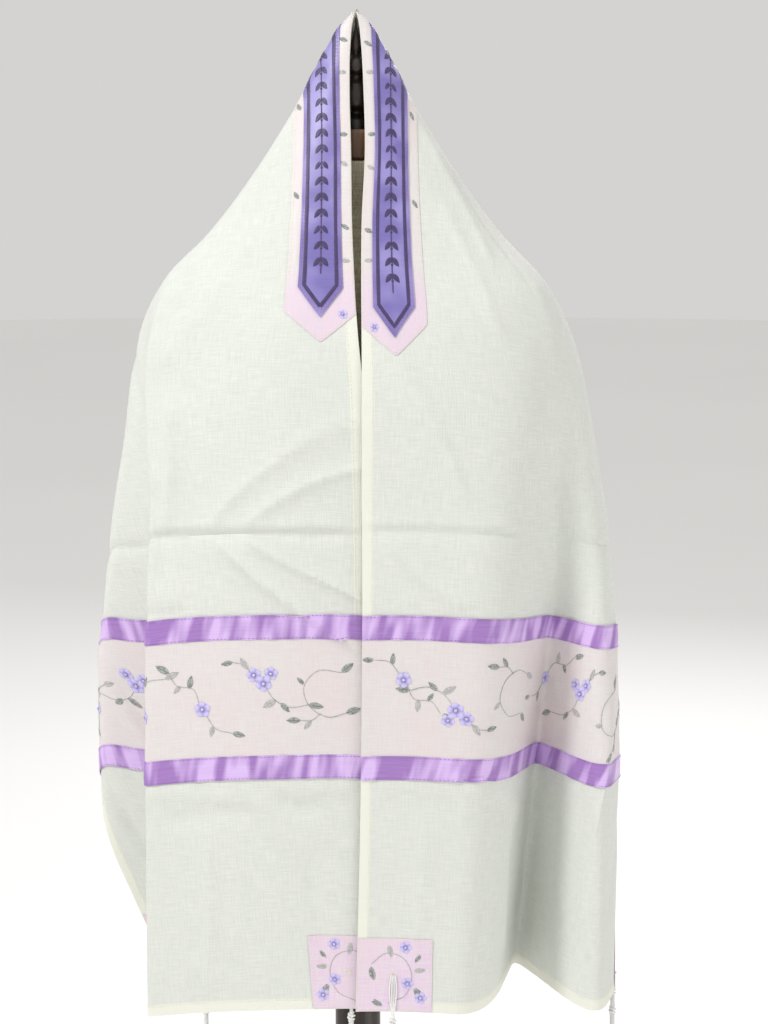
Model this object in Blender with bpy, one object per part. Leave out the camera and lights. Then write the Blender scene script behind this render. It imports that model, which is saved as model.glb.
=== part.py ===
"""Tallit prayer shawl on a limbless dress form stand.

The shawl is one flat rectangle that hangs from the middle of its neck edge. A point of the flat cloth is
given by u, its distance along the neck edge from the middle (left end negative), and v, its distance from
the neck edge. drape() places such a point on the hanging cloth. It works in polar sections round the
apex: each fold line of the cloth crosses a section once, and the section is a polygon through those
crossings with rounded corners. Sizes are in metres, +Z is up, X runs to the right seen from the front,
Y away from the front, and the origin is the middle of the base's underside.
"""
import math

import bmesh
import bpy
import numpy as np

MM = 0.001

# Driving sizes of the shawl
APEX_HEIGHT = 1.600
HALF_LENGTH = 0.915
WIDTH = 0.500
CLOTH = 1.5 * MM
NORMAL_STEP = 4 * MM
TIP_MITRE = (0.0, 0.3, 2.4)
TRIM = 1.0 * MM
SEAM = 0.3 * MM
CROWN_HALF = 0.330
APEX_LINES = (0.0, 0.008, 0.020, 0.034)

# Bands across each end, measured from the middle of the neck edge
UPPER_RIBBON = (0.547, 0.569)
LOWER_RIBBON = (0.675, 0.697)
PATCH = 0.070
TASSEL_HOLE = 0.035

# Neckband and its backing, measured from the neck edge, with pointed ends
BAND_INNER = 0.011
BAND_MIDDLE = 0.031
BAND_OUTER = 0.051
BACKING_OUTER = 0.062
BAND_CORNER = {-1: 0.258, 1: 0.276}
BACKING_CORNER = {-1: 0.280, 1: 0.292}
POINT = 0.028

# Radii of the polar sections at which the fold table gives places
SECTIONS = (0.0, 0.24, 0.30, 0.50, 0.72, 1.00)
RING = SECTIONS[2]
# The crown's slope runs straight to the second section, at these shares of the ring's places
SLOPE_X = 0.765
SLOPE_Y = 0.80

# Fold lines from the left front edge round the back to the right front edge, in mm and degrees.
# crown: angle of the fold on the crown, from the front edge of its own side.
# end_u, end_v: where the fold leaves the flat cloth.
# round: share of the neighbouring panels that its curve takes. slack: percent of length lost in slouch.
# x, y: its place at the ring and the three sections below, x outward from the middle, y to the back.
FOLD_COLUMNS = ("name", "side", "crown", "end_u", "end_v", "round", "slack",
                "x_ring", "y_ring", "x_bust", "y_bust", "x_band", "y_band", "x_hem", "y_hem")
FOLDS = (
    ("left front edge", -1, 0, 915, 0, 0.30, 0, 3, -105, -6, -118, -18, -116, -36, -114),
    ("left chest", -1, 16, 915, 100, 0.45, 0, 83, -99, 84, -120, 78, -120, 65, -116),
    ("left pleat edge", -1, 35, 915, 228, 0.12, 0, 167, -51, 187, -88, 195, -100, 200, -102),
    ("left pleat valley", -1, 39, 915, 368, 0.45, 6, 174, -30, 152, -42, 116, -36, 52, -34),
    ("left far middle", -1, 42.5, 915, 500, 0.45, 10, 175, -12, 190, -16, 186, -10, 178, -4),
    ("left outer ridge", -1, 47, 735, 500, 0.45, 16.5, 175, 10, 228, 8, 256, 10, 256, 2),
    ("left back valley 1", -1, 54, 575, 500, 0.50, 12, 148, 36, 180, 50, 192, 62, 192, 62),
    ("left back ridge 1", -1, 61, 442, 500, 0.50, 7, 141, 78, 184, 114, 202, 134, 202, 134),
    ("left back valley 2", -1, 68, 330, 500, 0.50, 3, 100, 84, 106, 94, 112, 96, 112, 96),
    ("left back ridge 2", -1, 75, 220, 500, 0.50, 1, 76, 108, 98, 158, 104, 170, 104, 170),
    ("left back valley 3", -1, 82.5, 108, 500, 0.50, 0, 32, 104, 34, 108, 34, 108, 34, 108),
    ("back middle", 1, 90, 0, 500, 0.50, 0, 2, 118, 4, 160, 4, 168, 4, 168),
    ("right back valley 3", 1, 82, 116, 500, 0.50, 0, 38, 103, 44, 106, 46, 108, 46, 108),
    ("right back ridge 2", 1, 75, 214, 500, 0.50, 1, 76, 109, 92, 162, 96, 172, 96, 172),
    ("right back valley 2", 1, 68.5, 326, 500, 0.50, 3, 104, 80, 118, 90, 124, 92, 124, 92),
    ("right back ridge 1", 1, 62, 436, 500, 0.50, 5, 136, 82, 174, 120, 192, 140, 192, 140),
    ("right back valley 1", 1, 56, 560, 500, 0.50, 8, 148, 40, 178, 60, 188, 72, 188, 72),
    ("right corner line", 1, 50, 915, 502, 0.50, 12, 170, 18, 216, 22, 236, -6, 228, 6),
    ("right side", 1, 46, 915, 440, 0.50, 10, 173, 0, 228, -14, 243, -46, 246, -44),
    ("right side ridge", 1, 41, 915, 352, 0.45, 4, 172, -24, 216, -58, 219, -108, 216, -120),
    ("right valley", 1, 35, 915, 232, 0.42, 1, 162, -52, 178, -58, 166, -22, 146, 38),
    ("right panel ridge", 1, 26, 915, 118, 0.30, 0, 126, -83, 134, -121, 127, -124, 115, -122),
    ("right chest", 1, 13, 915, 58, 0.45, 0, 68, -103, 66, -124, 60, -124, 53, -121),
    ("right front edge", 1, 0, 915, 0, 0.30, 0, 4, -107, 6, -123, 4, -122, -3, -120),
)

# Dress form: height, half width and half depth of each ring, in mm
FORM_COLUMNS = ("height", "half_width", "half_depth")
FORM_RINGS = (
    (1468, 45, 38),
    (1446, 46, 40),
    (1428, 58, 45),
    (1404, 98, 57),
    (1378, 139, 69),
    (1352, 161, 78),
    (1318, 168, 86),
    (1255, 153, 92),
    (1160, 128, 84),
    (1060, 108, 74),
    (960, 110, 78),
    (900, 102, 74),
    (872, 82, 58),
)
FORM_SIDES = 28

# Turned finial, from the tip down: height below the apex and radius, in mm
FINIAL_TIP_DROP = 6.6
FINIAL_PROFILE = ((20, 2.2), (27, 5.0), (33, 6.5), (38, 4.5), (44, 12), (52, 14),
                  (59, 9), (66, 15), (75, 19), (84, 18), (90, 12), (97, 20), (104.2, 21))
FINIAL_SIDES = 16
BLOCK_TOP = 1.4955
BLOCK_BOTTOM = 1.4685
BLOCK_RADIUS = 0.031

POLE_RADIUS = 0.0215
POLE_TOP = 0.8715
BASE_PROFILE = ((0.185, 0.0), (0.185, 0.016), (0.178, 0.022), (0.110, 0.030), (0.045, 0.036), (0.030, 0.048))
TURNED_SIDES = 36

# Corner tassels
TASSEL_STRANDS = 8
TASSEL_LOOP = 1.7 * MM
TASSEL_CORD = 1.9 * MM
TASSEL_KNOT = 3.6 * MM
TASSEL_KNOTS = 5
TASSEL_BOUND = 0.095
TASSEL_LOOSE = 0.160
STRAND_SIZE = 1.2 * MM
STRAND_STEPS = 4


def clear_scene():
    for obj in list(bpy.data.objects):
        bpy.data.objects.remove(obj, do_unlink=True)


def make_material(name, colour, roughness, metallic=0.0):
    material = bpy.data.materials.new(name)
    material.use_nodes = True
    shader = material.node_tree.nodes["Principled BSDF"]
    shader.inputs["Base Color"].default_value = (*colour, 1.0)
    shader.inputs["Roughness"].default_value = roughness
    shader.inputs["Metallic"].default_value = metallic
    material.diffuse_color = (*colour, 1.0)
    return material


def smooth_through(stations, values, query):
    """Cubic curve through values at the stations, with slopes from the neighbouring stretches."""
    stations = np.asarray(stations, float)
    values = np.asarray(values, float)
    steps = np.diff(stations)
    rises = np.diff(values) / steps
    slopes = np.empty_like(values)
    slopes[0] = rises[0]
    slopes[-1] = rises[-1]
    slopes[1:-1] = (rises[:-1] * steps[1:] + rises[1:] * steps[:-1]) / (steps[1:] + steps[:-1])
    place = np.clip(np.searchsorted(stations, query, side="right") - 1, 0, len(steps) - 1)
    step = steps[place]
    t = (query - stations[place]) / step
    rise = (2 * t**3 - 3 * t**2 + 1) * values[place] + (3 * t**2 - 2 * t**3) * values[place + 1]
    return rise + step * ((t**3 - 2 * t**2 + t) * slopes[place] + (t**3 - t**2) * slopes[place + 1])


class FoldLine:
    """One fold line of the cloth: its flat path, and where it hangs, sampled by distance from the apex."""

    RADII = np.arange(0.0, 1.101, 0.004)

    def __init__(self, row):
        self.row = dict(zip(FOLD_COLUMNS, row))
        self.flat_path()
        self.hanging_path()

    def flat_path(self):
        """Straight from the apex to the ring, then straight to its end on the cloth's edge."""
        crown = math.radians(self.row["crown"])
        ring_u, ring_v = RING * math.cos(crown), RING * math.sin(crown)
        away_u, away_v = self.row["end_u"] * MM - ring_u, self.row["end_v"] * MM - ring_v
        length = math.hypot(away_u, away_v)
        away_u, away_v = away_u / length, away_v / length
        along = ring_u * away_u + ring_v * away_v
        beyond = np.maximum(self.RADII, RING)
        run = -along + np.sqrt(along**2 + beyond**2 - RING**2)
        flat_u, flat_v = ring_u + run * away_u, ring_v + run * away_v
        angle = np.where(self.RADII > RING, np.arctan2(flat_v, flat_u), crown)
        self.length = np.where(self.RADII > RING, RING + run, self.RADII)
        self.angle = angle if self.row["side"] < 0 else math.pi - angle

    def hanging_path(self):
        """Plan places from the table. The height follows from the length of cloth along the fold."""
        row = self.row
        columns = ("ring", "ring", "bust", "band", "hem")
        shares_x = np.array([SLOPE_X, 1, 1, 1, 1])
        shares_y = np.array([SLOPE_Y, 1, 1, 1, 1])
        x_stations = shares_x * [row["x_" + column] * MM for column in columns]
        y_stations = shares_y * [row["y_" + column] * MM for column in columns]
        x = smooth_through(SECTIONS, np.append(0, x_stations), self.RADII)
        y = smooth_through(SECTIONS, np.append(0, y_stations), self.RADII)
        middle = 0.5 * (self.RADII[1:] + self.RADII[:-1])
        taken = 1 - 0.01 * row["slack"] * (middle > RING)
        cloth = np.diff(self.length) * taken
        sideways = np.hypot(np.diff(x), np.diff(y))
        drop = np.sqrt(np.maximum(cloth**2 - sideways**2, (0.25 * cloth) ** 2))
        z = APEX_HEIGHT - np.concatenate(([0.0], np.cumsum(drop)))
        self.places = np.stack([row["side"] * x, y, z], axis=-1)

    def at(self, radius):
        angle = np.interp(radius, self.RADII, self.angle)
        place = [np.interp(radius, self.RADII, self.places[:, axis]) for axis in range(3)]
        return angle, np.stack(place, axis=-1)


FOLD_LINES = [FoldLine(row) for row in FOLDS]


def drape(u, v):
    """Places of the flat points (u, v) on the hanging cloth."""
    u, v = np.broadcast_arrays(np.asarray(u, float), np.asarray(v, float))
    shape = u.shape
    u, v = u.ravel(), v.ravel()
    radius = np.hypot(u, v)
    query = np.arctan2(v, -u)
    crossings = [line.at(radius) for line in FOLD_LINES]
    angles = np.stack([angle for angle, _ in crossings])
    corners = np.stack([place for _, place in crossings])
    rounds = np.array([line.row["round"] for line in FOLD_LINES])
    count = len(FOLD_LINES)
    pick = np.arange(len(u))
    stretch = np.clip((angles <= query + 1e-9).sum(axis=0) - 1, 0, count - 2)
    start, end = angles[stretch, pick], angles[stretch + 1, pick]
    share = np.clip((query - start) / np.maximum(end - start, 1e-9), 0, 1)
    straight = corners[stretch, pick] * (1 - share)[:, None] + corners[stretch + 1, pick] * share[:, None]
    result = straight.copy()
    for fold in range(1, count - 1):
        soft = rounds[fold]
        before, here, after = angles[fold - 1], angles[fold], angles[fold + 1]
        left, right = here - soft * (here - before), here + soft * (after - here)
        inside = (query > left) & (query < right)
        if not inside.any():
            continue
        a, b, c, q = left[inside], here[inside], right[inside], query[inside]
        first = corners[fold][inside] + soft * (corners[fold - 1][inside] - corners[fold][inside])
        last = corners[fold][inside] + soft * (corners[fold + 1][inside] - corners[fold][inside])
        bend, slope = a - 2 * b + c, b - a
        root = np.sqrt(np.maximum(slope**2 + bend * (q - a), 0))
        t = ((q - a) / (slope + root))[:, None]
        result[inside] = (1 - t)**2 * first + 2 * t * (1 - t) * corners[fold][inside] + t**2 * last
    return result.reshape(shape + (3,))


def drape_normals(u, v):
    """Outward normals of the hanging cloth, from places a little to each side of the flat points.

    The tip of the crown is a sharp cone, so there the offset runs up its axis, lengthened as a mitre.
    """
    step = np.minimum(NORMAL_STEP, 0.5 * np.hypot(u, v) + 0.1 * MM)
    low_v, high_v = np.maximum(v - step, 0), np.minimum(v + step, WIDTH)
    along = drape(u + step, v) - drape(u - step, v)
    across = drape(u, high_v) - drape(u, low_v)
    normals = np.cross(along, across)
    normals = normals / np.linalg.norm(normals, axis=-1, keepdims=True)
    normals[np.hypot(u, v) < MM] = TIP_MITRE
    return normals


class Panel:
    """A stretch of the shawl as a grid of flat points, with the places and normals that trims reuse."""

    def __init__(self, flat_u, flat_v):
        self.flat_u, self.flat_v = flat_u, flat_v
        self.places = drape(flat_u, flat_v)
        self.normals = drape_normals(flat_u, flat_v)

    def cut(self, rows, columns):
        return self.places[rows, columns], self.normals[rows, columns], self.flat_u[rows, columns]


def pull_in(places, first_row, last_row, first_column, last_column):
    """Draw the grid's outer lines in by the given distances, so that neighbours keep a seam."""
    places = places.copy()

    def draw(line, inner, distance):
        away = inner - line
        return line + away * (distance / np.linalg.norm(away, axis=-1, keepdims=True))

    places[0], places[-1] = draw(places[0], places[1], first_row), draw(places[-1], places[-2], last_row)
    places[:, 0] = draw(places[:, 0], places[:, 1], first_column)
    places[:, -1] = draw(places[:, -1], places[:, -2], last_column)
    return places


def add_object(name, points, faces, material, smooth=True):
    mesh = bpy.data.meshes.new(name)
    mesh.from_pydata([tuple(point) for point in points], [], faces)
    mesh.materials.append(material)
    mesh.validate()
    mesh.update()
    if smooth:
        mesh.shade_smooth()
        mesh.set_sharp_from_angle(angle=math.radians(40))
    obj = bpy.data.objects.new(name, mesh)
    bpy.context.scene.collection.objects.link(obj)
    return obj


def wall(name, places, normals, flat_u, low, high, material):
    """Closed wall between two offsets of a grid, in triangles whose diagonals run away from the apex."""
    rows, columns = places.shape[:2]
    outer = (places + normals * high).reshape(-1, 3)
    inner = (places + normals * low).reshape(-1, 3)
    base = rows * columns
    faces = []
    for row in range(rows - 1):
        for column in range(columns - 1):
            a = row * columns + column
            b, c, d = a + 1, a + columns + 1, a + columns
            if flat_u[row, column] + flat_u[row + 1, column] < 0:
                halves = ((a, d, b), (b, d, c))
            else:
                halves = ((a, c, b), (a, d, c))
            faces += halves
            faces += [tuple(base + corner for corner in reversed(half)) for half in halves]
    rim = [column for column in range(columns)]
    rim += [row * columns + columns - 1 for row in range(1, rows)]
    rim += [(rows - 1) * columns + column for column in range(columns - 2, -1, -1)]
    rim += [row * columns for row in range(rows - 2, 0, -1)]
    for here, there in zip(rim, rim[1:] + rim[:1]):
        if here < there:
            faces += [(here, there, base + there), (here, base + there, base + here)]
        else:
            faces += [(here, there, base + here), (there, base + there, base + here)]
    return add_object(name, np.concatenate([outer, inner]), faces, material)


def lathe(name, profile, sides, material, centre=(0.0, 0.0)):
    """Closed turned piece from (radius x, radius y, height) rings, flat at both ends."""
    points, faces = [], []
    for radius_x, radius_y, height in profile:
        for side in range(sides):
            turn = math.tau * side / sides
            points.append((centre[0] + radius_x * math.cos(turn), centre[1] + radius_y * math.sin(turn), height))
    for ring in range(len(profile) - 1):
        for side in range(sides):
            other = (side + 1) % sides
            low, high = ring * sides, (ring + 1) * sides
            faces.append((low + side, low + other, high + other, high + side))
    faces.append(tuple(range(sides - 1, -1, -1)))
    faces.append(tuple((len(profile) - 1) * sides + side for side in range(sides)))
    return add_object(name, points, faces, material)


def evenly(start, stop, step):
    count = max(1, round((stop - start) / step))
    return [start + (stop - start) * index / count for index in range(count + 1)]


def joined_lines(*stretches):
    """One rising list of grid lines from several stretches that share their ends."""
    lines = []
    for stretch in stretches:
        lines += [value for value in stretch if not lines or value > lines[-1] + 1e-6]
    return lines


def lines_across():
    """Grid lines along the whole shawl: the neckband's edges, then closest where the folds are tightest."""
    return joined_lines([0.0, BAND_INNER, BAND_MIDDLE, BAND_OUTER, BACKING_OUTER, PATCH],
                        evenly(PATCH, 0.160, 0.030), evenly(0.160, 0.250, 0.0113),
                        evenly(0.250, WIDTH - PATCH, 0.018), evenly(WIDTH - PATCH, WIDTH, 0.0175))


def crown_panel():
    """Crown and back, with grid lines that follow the pointed ends of the neckband and its backing."""
    across = lines_across()
    left, right = [joined_lines(APEX_LINES, evenly(APEX_LINES[-1], BAND_CORNER[side], 0.0285),
                                [BACKING_CORNER[side], CROWN_HALF - SEAM / 2]) for side in (-1, 1)]
    along = [-value for value in reversed(left)] + right[1:]
    flat_u, flat_v = np.meshgrid(along, across, indexing="ij")
    share = np.clip(1 - np.abs(flat_v - BAND_MIDDLE) / BAND_MIDDLE, 0, 1)
    for side in (-1, 1):
        for corner in (BAND_CORNER[side], BACKING_CORNER[side]):
            pointed = np.isclose(flat_u, side * corner)
            flat_u = np.where(pointed, flat_u + side * POINT * share, flat_u)
    return Panel(flat_u, flat_v), along, across


def end_panel(side):
    across = lines_across()
    along = joined_lines(evenly(CROWN_HALF + SEAM / 2, UPPER_RIBBON[0], 0.036), UPPER_RIBBON,
                         evenly(UPPER_RIBBON[1], LOWER_RIBBON[0], 0.027), LOWER_RIBBON,
                         evenly(LOWER_RIBBON[1], HALF_LENGTH - PATCH, 0.036),
                         evenly(HALF_LENGTH - PATCH, HALF_LENGTH, 0.035))
    if side < 0:
        along = [-value for value in reversed(along)]
    flat_u, flat_v = np.meshgrid(along, across, indexing="ij")
    return Panel(flat_u, flat_v), along, across


def lines_between(lines, low, high):
    """Slice of the grid lines from low to high, both of them grid lines."""
    inside = [index for index, value in enumerate(lines) if low - 1e-6 <= value <= high + 1e-6]
    return slice(inside[0], inside[-1] + 1)


def trim(name, panel, rows, columns, level, draws, material):
    """Flat trim on the outer face. Level 0 lies on the cloth, level 1 on the trim below it."""
    places, normals, flat_u = panel.cut(rows, columns)
    low = CLOTH / 2 + SEAM + level * (TRIM + SEAM)
    return wall(name, pull_in(places, *draws), normals, flat_u, low, low + TRIM, material)


def build_crown(materials):
    panel, along, across = crown_panel()
    wall("shawl_crown", panel.places, panel.normals, panel.flat_u, -CLOTH / 2, CLOTH / 2, materials["ivory"])
    backing_rows = lines_between(along, -BACKING_CORNER[-1], BACKING_CORNER[1])
    trim("neckband_backing", panel, backing_rows, lines_between(across, 0.0, BACKING_OUTER), 0,
         (0, 0, 0, 0), materials["organza"])
    band_rows = lines_between(along, -BAND_CORNER[-1], BAND_CORNER[1])
    trim("neckband", panel, band_rows, lines_between(across, BAND_INNER, BAND_OUTER), 1,
         (0, 0, 0, 0), materials["lilac"])


def build_end(side, label, materials):
    panel, along, across = end_panel(side)
    wall(f"shawl_{label}_end", panel.places, panel.normals, panel.flat_u, -CLOTH / 2, CLOTH / 2,
         materials["ivory"])
    edge = 1.0 * MM

    def rows_of(band):
        low, high = sorted((side * band[0], side * band[1]))
        return lines_between(along, low, high)

    half_seam = SEAM / 2
    whole = slice(0, len(across))
    for place, band in (("upper", UPPER_RIBBON), ("lower", LOWER_RIBBON)):
        trim(f"{label}_{place}_ribbon", panel, rows_of(band), whole, 0,
             (half_seam, half_seam, edge, edge), materials["satin"])
    trim(f"{label}_organza_band", panel, rows_of((UPPER_RIBBON[1], LOWER_RIBBON[0])), whole, 0,
         (half_seam, half_seam, edge, edge), materials["organza"])
    corner = rows_of((HALF_LENGTH - PATCH, HALF_LENGTH))
    trim(f"{label}_front_patch", panel, corner, lines_between(across, 0.0, PATCH), 0,
         (edge, edge, edge, edge), materials["pink"])
    trim(f"{label}_far_patch", panel, corner, lines_between(across, WIDTH - PATCH, WIDTH), 0,
         (edge, edge, edge, edge), materials["pink"])


def tassel_path(side, flat_v, face):
    """From the hole, down the given face of the cloth to the hem, then straight down, with radii."""
    lie = CLOTH / 2 + (SEAM + TRIM if face > 0 else 0) + SEAM + TASSEL_LOOP
    path, radii = [], []
    for drop in (0.0, 0.4, 0.8, 1.0):
        flat_u = HALF_LENGTH - TASSEL_HOLE * (1 - drop)
        near = drape(np.array([flat_u - MM, flat_u]) * side, np.array([flat_v, flat_v]))
        beside = drape(flat_u * side, flat_v + MM)
        normal = np.cross(near[1] - near[0], beside - near[1]) * side
        normal /= np.linalg.norm(normal)
        path.append(near[1] + normal * lie * face)
        radii.append(TASSEL_LOOP)
    fall = np.array([0.0, 0.0, -1.0])
    start = path[-1]
    pitch = TASSEL_BOUND / TASSEL_KNOTS
    for knot in range(TASSEL_KNOTS):
        for share, radius in ((0.16, TASSEL_CORD), (0.30, TASSEL_KNOT), (0.48, TASSEL_KNOT), (0.62, TASSEL_CORD)):
            path.append(start + fall * pitch * (knot + share))
            radii.append(radius)
    return path, radii


def build_tassel(name, side, flat_v, face, material):
    """Bound cord with knots, and loose strands drawn out of its lower end as one closed body."""
    path, radii = tassel_path(side, flat_v, face)
    points, faces = [], []
    for index, (place, radius) in enumerate(zip(path, radii)):
        ahead = path[min(index + 1, len(path) - 1)] - path[max(index - 1, 0)]
        ahead = ahead / np.linalg.norm(ahead)
        across = np.cross(ahead, (0.0, 1.0, 0.0))
        across = across / np.linalg.norm(across)
        other = np.cross(ahead, across)
        for corner in range(TASSEL_STRANDS):
            turn = math.tau * corner / TASSEL_STRANDS
            points.append(place + radius * (math.cos(turn) * across + math.sin(turn) * other))
    ring = TASSEL_STRANDS
    for step in range(len(path) - 1):
        for corner in range(ring):
            beside = (corner + 1) % ring
            low, high = step * ring, (step + 1) * ring
            faces += [(low + corner, low + beside, high + beside), (low + corner, high + beside, high + corner)]
    faces.append(tuple(range(ring - 1, -1, -1)))
    last = (len(path) - 1) * ring
    middle = len(points)
    foot = path[-1]
    points.append(foot)
    for strand in range(0, ring):
        beside = (strand + 1) % ring
        corners = [middle, last + strand, last + beside]
        outward = (points[last + strand] + points[last + beside]) / 2 - foot
        outward = outward / np.linalg.norm(outward)
        length = TASSEL_LOOSE * (1 - 0.05 * ((strand * 3) % 4))
        previous = corners
        for step in range(1, STRAND_STEPS + 1):
            share = step / STRAND_STEPS
            spread = 2.2 * MM + 5.0 * MM * share * (0.5 + 0.5 * ((strand * 5) % 3) / 2)
            centre = foot + outward * spread + np.array([0.0, 0.0, -length * share])
            current = []
            for corner in range(3):
                turn = math.atan2(outward[1], outward[0]) + math.pi - math.tau * corner / 3
                current.append(len(points))
                sweep = np.array([math.cos(turn), math.sin(turn), 0.0])
                points.append(centre + sweep * STRAND_SIZE * 0.6)
            for corner in range(3):
                side_corner = (corner + 1) % 3
                faces.append((previous[corner], previous[side_corner], current[side_corner]))
                faces.append((previous[corner], current[side_corner], current[corner]))
            previous = current
        faces.append(tuple(previous))
    obj = add_object(name, points, faces, material)
    work = bmesh.new()
    work.from_mesh(obj.data)
    bmesh.ops.recalc_face_normals(work, faces=work.faces)
    work.to_mesh(obj.data)
    work.free()
    return obj


def build_stand(materials):
    form = [(half_width * MM, half_depth * MM, height * MM)
            for height, half_width, half_depth in reversed(FORM_RINGS)]
    lathe("dress_form_body", form, FORM_SIDES, materials["linen"])
    finial = [(radius * MM, radius * MM, APEX_HEIGHT - drop * MM) for drop, radius in reversed(FINIAL_PROFILE)]
    finial.append((0.6 * MM, 0.6 * MM, APEX_HEIGHT - FINIAL_TIP_DROP * MM))
    lathe("finial", finial, FINIAL_SIDES, materials["dark wood"])
    block = [(BLOCK_RADIUS, BLOCK_RADIUS, BLOCK_BOTTOM), (BLOCK_RADIUS, BLOCK_RADIUS, BLOCK_TOP)]
    lathe("neck_block", block, FINIAL_SIDES, materials["brown wood"])
    base = [(radius, radius, height) for radius, height in BASE_PROFILE]
    lathe("base", base, TURNED_SIDES, materials["dark wood"])
    pole_bottom = BASE_PROFILE[-1][1] + SEAM
    pole = [(POLE_RADIUS, POLE_RADIUS, pole_bottom), (POLE_RADIUS, POLE_RADIUS, POLE_TOP)]
    lathe("pole", pole, FINIAL_SIDES, materials["dark wood"])


def main():
    clear_scene()
    materials = {
        "ivory": make_material("ivory viscose cloth", (0.79, 0.79, 0.70), 0.85),
        "organza": make_material("blush organza", (0.76, 0.70, 0.67), 0.70),
        "satin": make_material("orchid satin ribbon", (0.52, 0.33, 0.68), 0.35),
        "lilac": make_material("lilac satin band", (0.27, 0.22, 0.60), 0.45),
        "pink": make_material("pink organza", (0.84, 0.63, 0.76), 0.70),
        "white": make_material("white wool cord", (0.88, 0.88, 0.88), 0.80),
        "linen": make_material("tan linen", (0.33, 0.29, 0.18), 0.90),
        "dark wood": make_material("dark turned wood", (0.03, 0.02, 0.015), 0.40),
        "brown wood": make_material("brown wood", (0.10, 0.05, 0.03), 0.45),
    }
    build_crown(materials)
    for side, label in ((-1, "left"), (1, "right")):
        build_end(side, label, materials)
        behind = -1 if side < 0 else 1
        build_tassel(f"{label}_front_tassel", side, TASSEL_HOLE, behind, materials["white"])
        build_tassel(f"{label}_far_tassel", side, WIDTH - TASSEL_HOLE, 1, materials["white"])
    build_stand(materials)


main()
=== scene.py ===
"""Looks of a tallit prayer shawl on a limbless dress form stand.

The cloth is one flat rectangle that hangs from the middle of its neck edge. A point of the flat cloth is
given by u, its distance along the neck edge from the middle (left end negative), and v, its distance from
the neck edge. cloth_frame() gives its place and outward normal on the hanging cloth, creases included.
Sizes are in metres, +Z is up, X runs to the right seen from the front, Y away from the front.
"""
import math

import bpy
import numpy as np
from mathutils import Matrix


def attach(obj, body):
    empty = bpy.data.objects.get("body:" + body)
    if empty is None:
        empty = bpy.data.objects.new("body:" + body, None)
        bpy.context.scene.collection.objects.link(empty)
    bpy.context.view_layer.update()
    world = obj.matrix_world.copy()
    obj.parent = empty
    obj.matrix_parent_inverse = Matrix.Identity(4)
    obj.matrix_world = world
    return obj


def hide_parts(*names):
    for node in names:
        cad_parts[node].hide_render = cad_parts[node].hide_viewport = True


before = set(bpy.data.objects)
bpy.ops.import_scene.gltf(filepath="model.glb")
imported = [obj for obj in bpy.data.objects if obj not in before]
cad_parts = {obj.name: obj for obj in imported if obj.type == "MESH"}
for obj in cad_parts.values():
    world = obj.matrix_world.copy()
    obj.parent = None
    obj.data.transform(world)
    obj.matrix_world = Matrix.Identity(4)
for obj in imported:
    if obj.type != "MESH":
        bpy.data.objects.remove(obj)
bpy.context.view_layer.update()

bl_info = {
    "name": "Prayer shawl on a dress form",
    "version": (1, 0, 0),
    "blender": (4, 5, 0),
    "location": "3D View > Sidebar > Shawl",
    "description": "Builds a draped prayer shawl with bands, fringes and neckband on its stand",
    "category": "Object",
}

MM = 0.001
BODY = "root"

# Flat sizes of the shawl, as in its construction
APEX_HEIGHT = 1.600
HALF_LENGTH = 0.915
WIDTH = 0.500
UPPER_RIBBON = (0.547, 0.569)
LOWER_RIBBON = (0.675, 0.697)
PATCH = 0.070
FRINGE_HOLE = 0.035
BAND_INNER = 0.011
BAND_MIDDLE = 0.031
BAND_OUTER = 0.051
BACKING_OUTER = 0.062
BAND_CORNER = {-1: 0.258, 1: 0.276}
BACKING_CORNER = {-1: 0.280, 1: 0.292}
POINT = 0.028
SIDES = {"left": -1, "right": 1}

# Radii of the polar sections at which the fold table gives places, and the crown's straight slope
SECTIONS = (0.0, 0.24, 0.30, 0.50, 0.72, 1.00)
RING = SECTIONS[2]
SLOPE_X = 0.765
SLOPE_Y = 0.80
TIP_MITRE = (0.0, 0.3, 2.4)
NORMAL_STEP = 2.5 * MM

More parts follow.
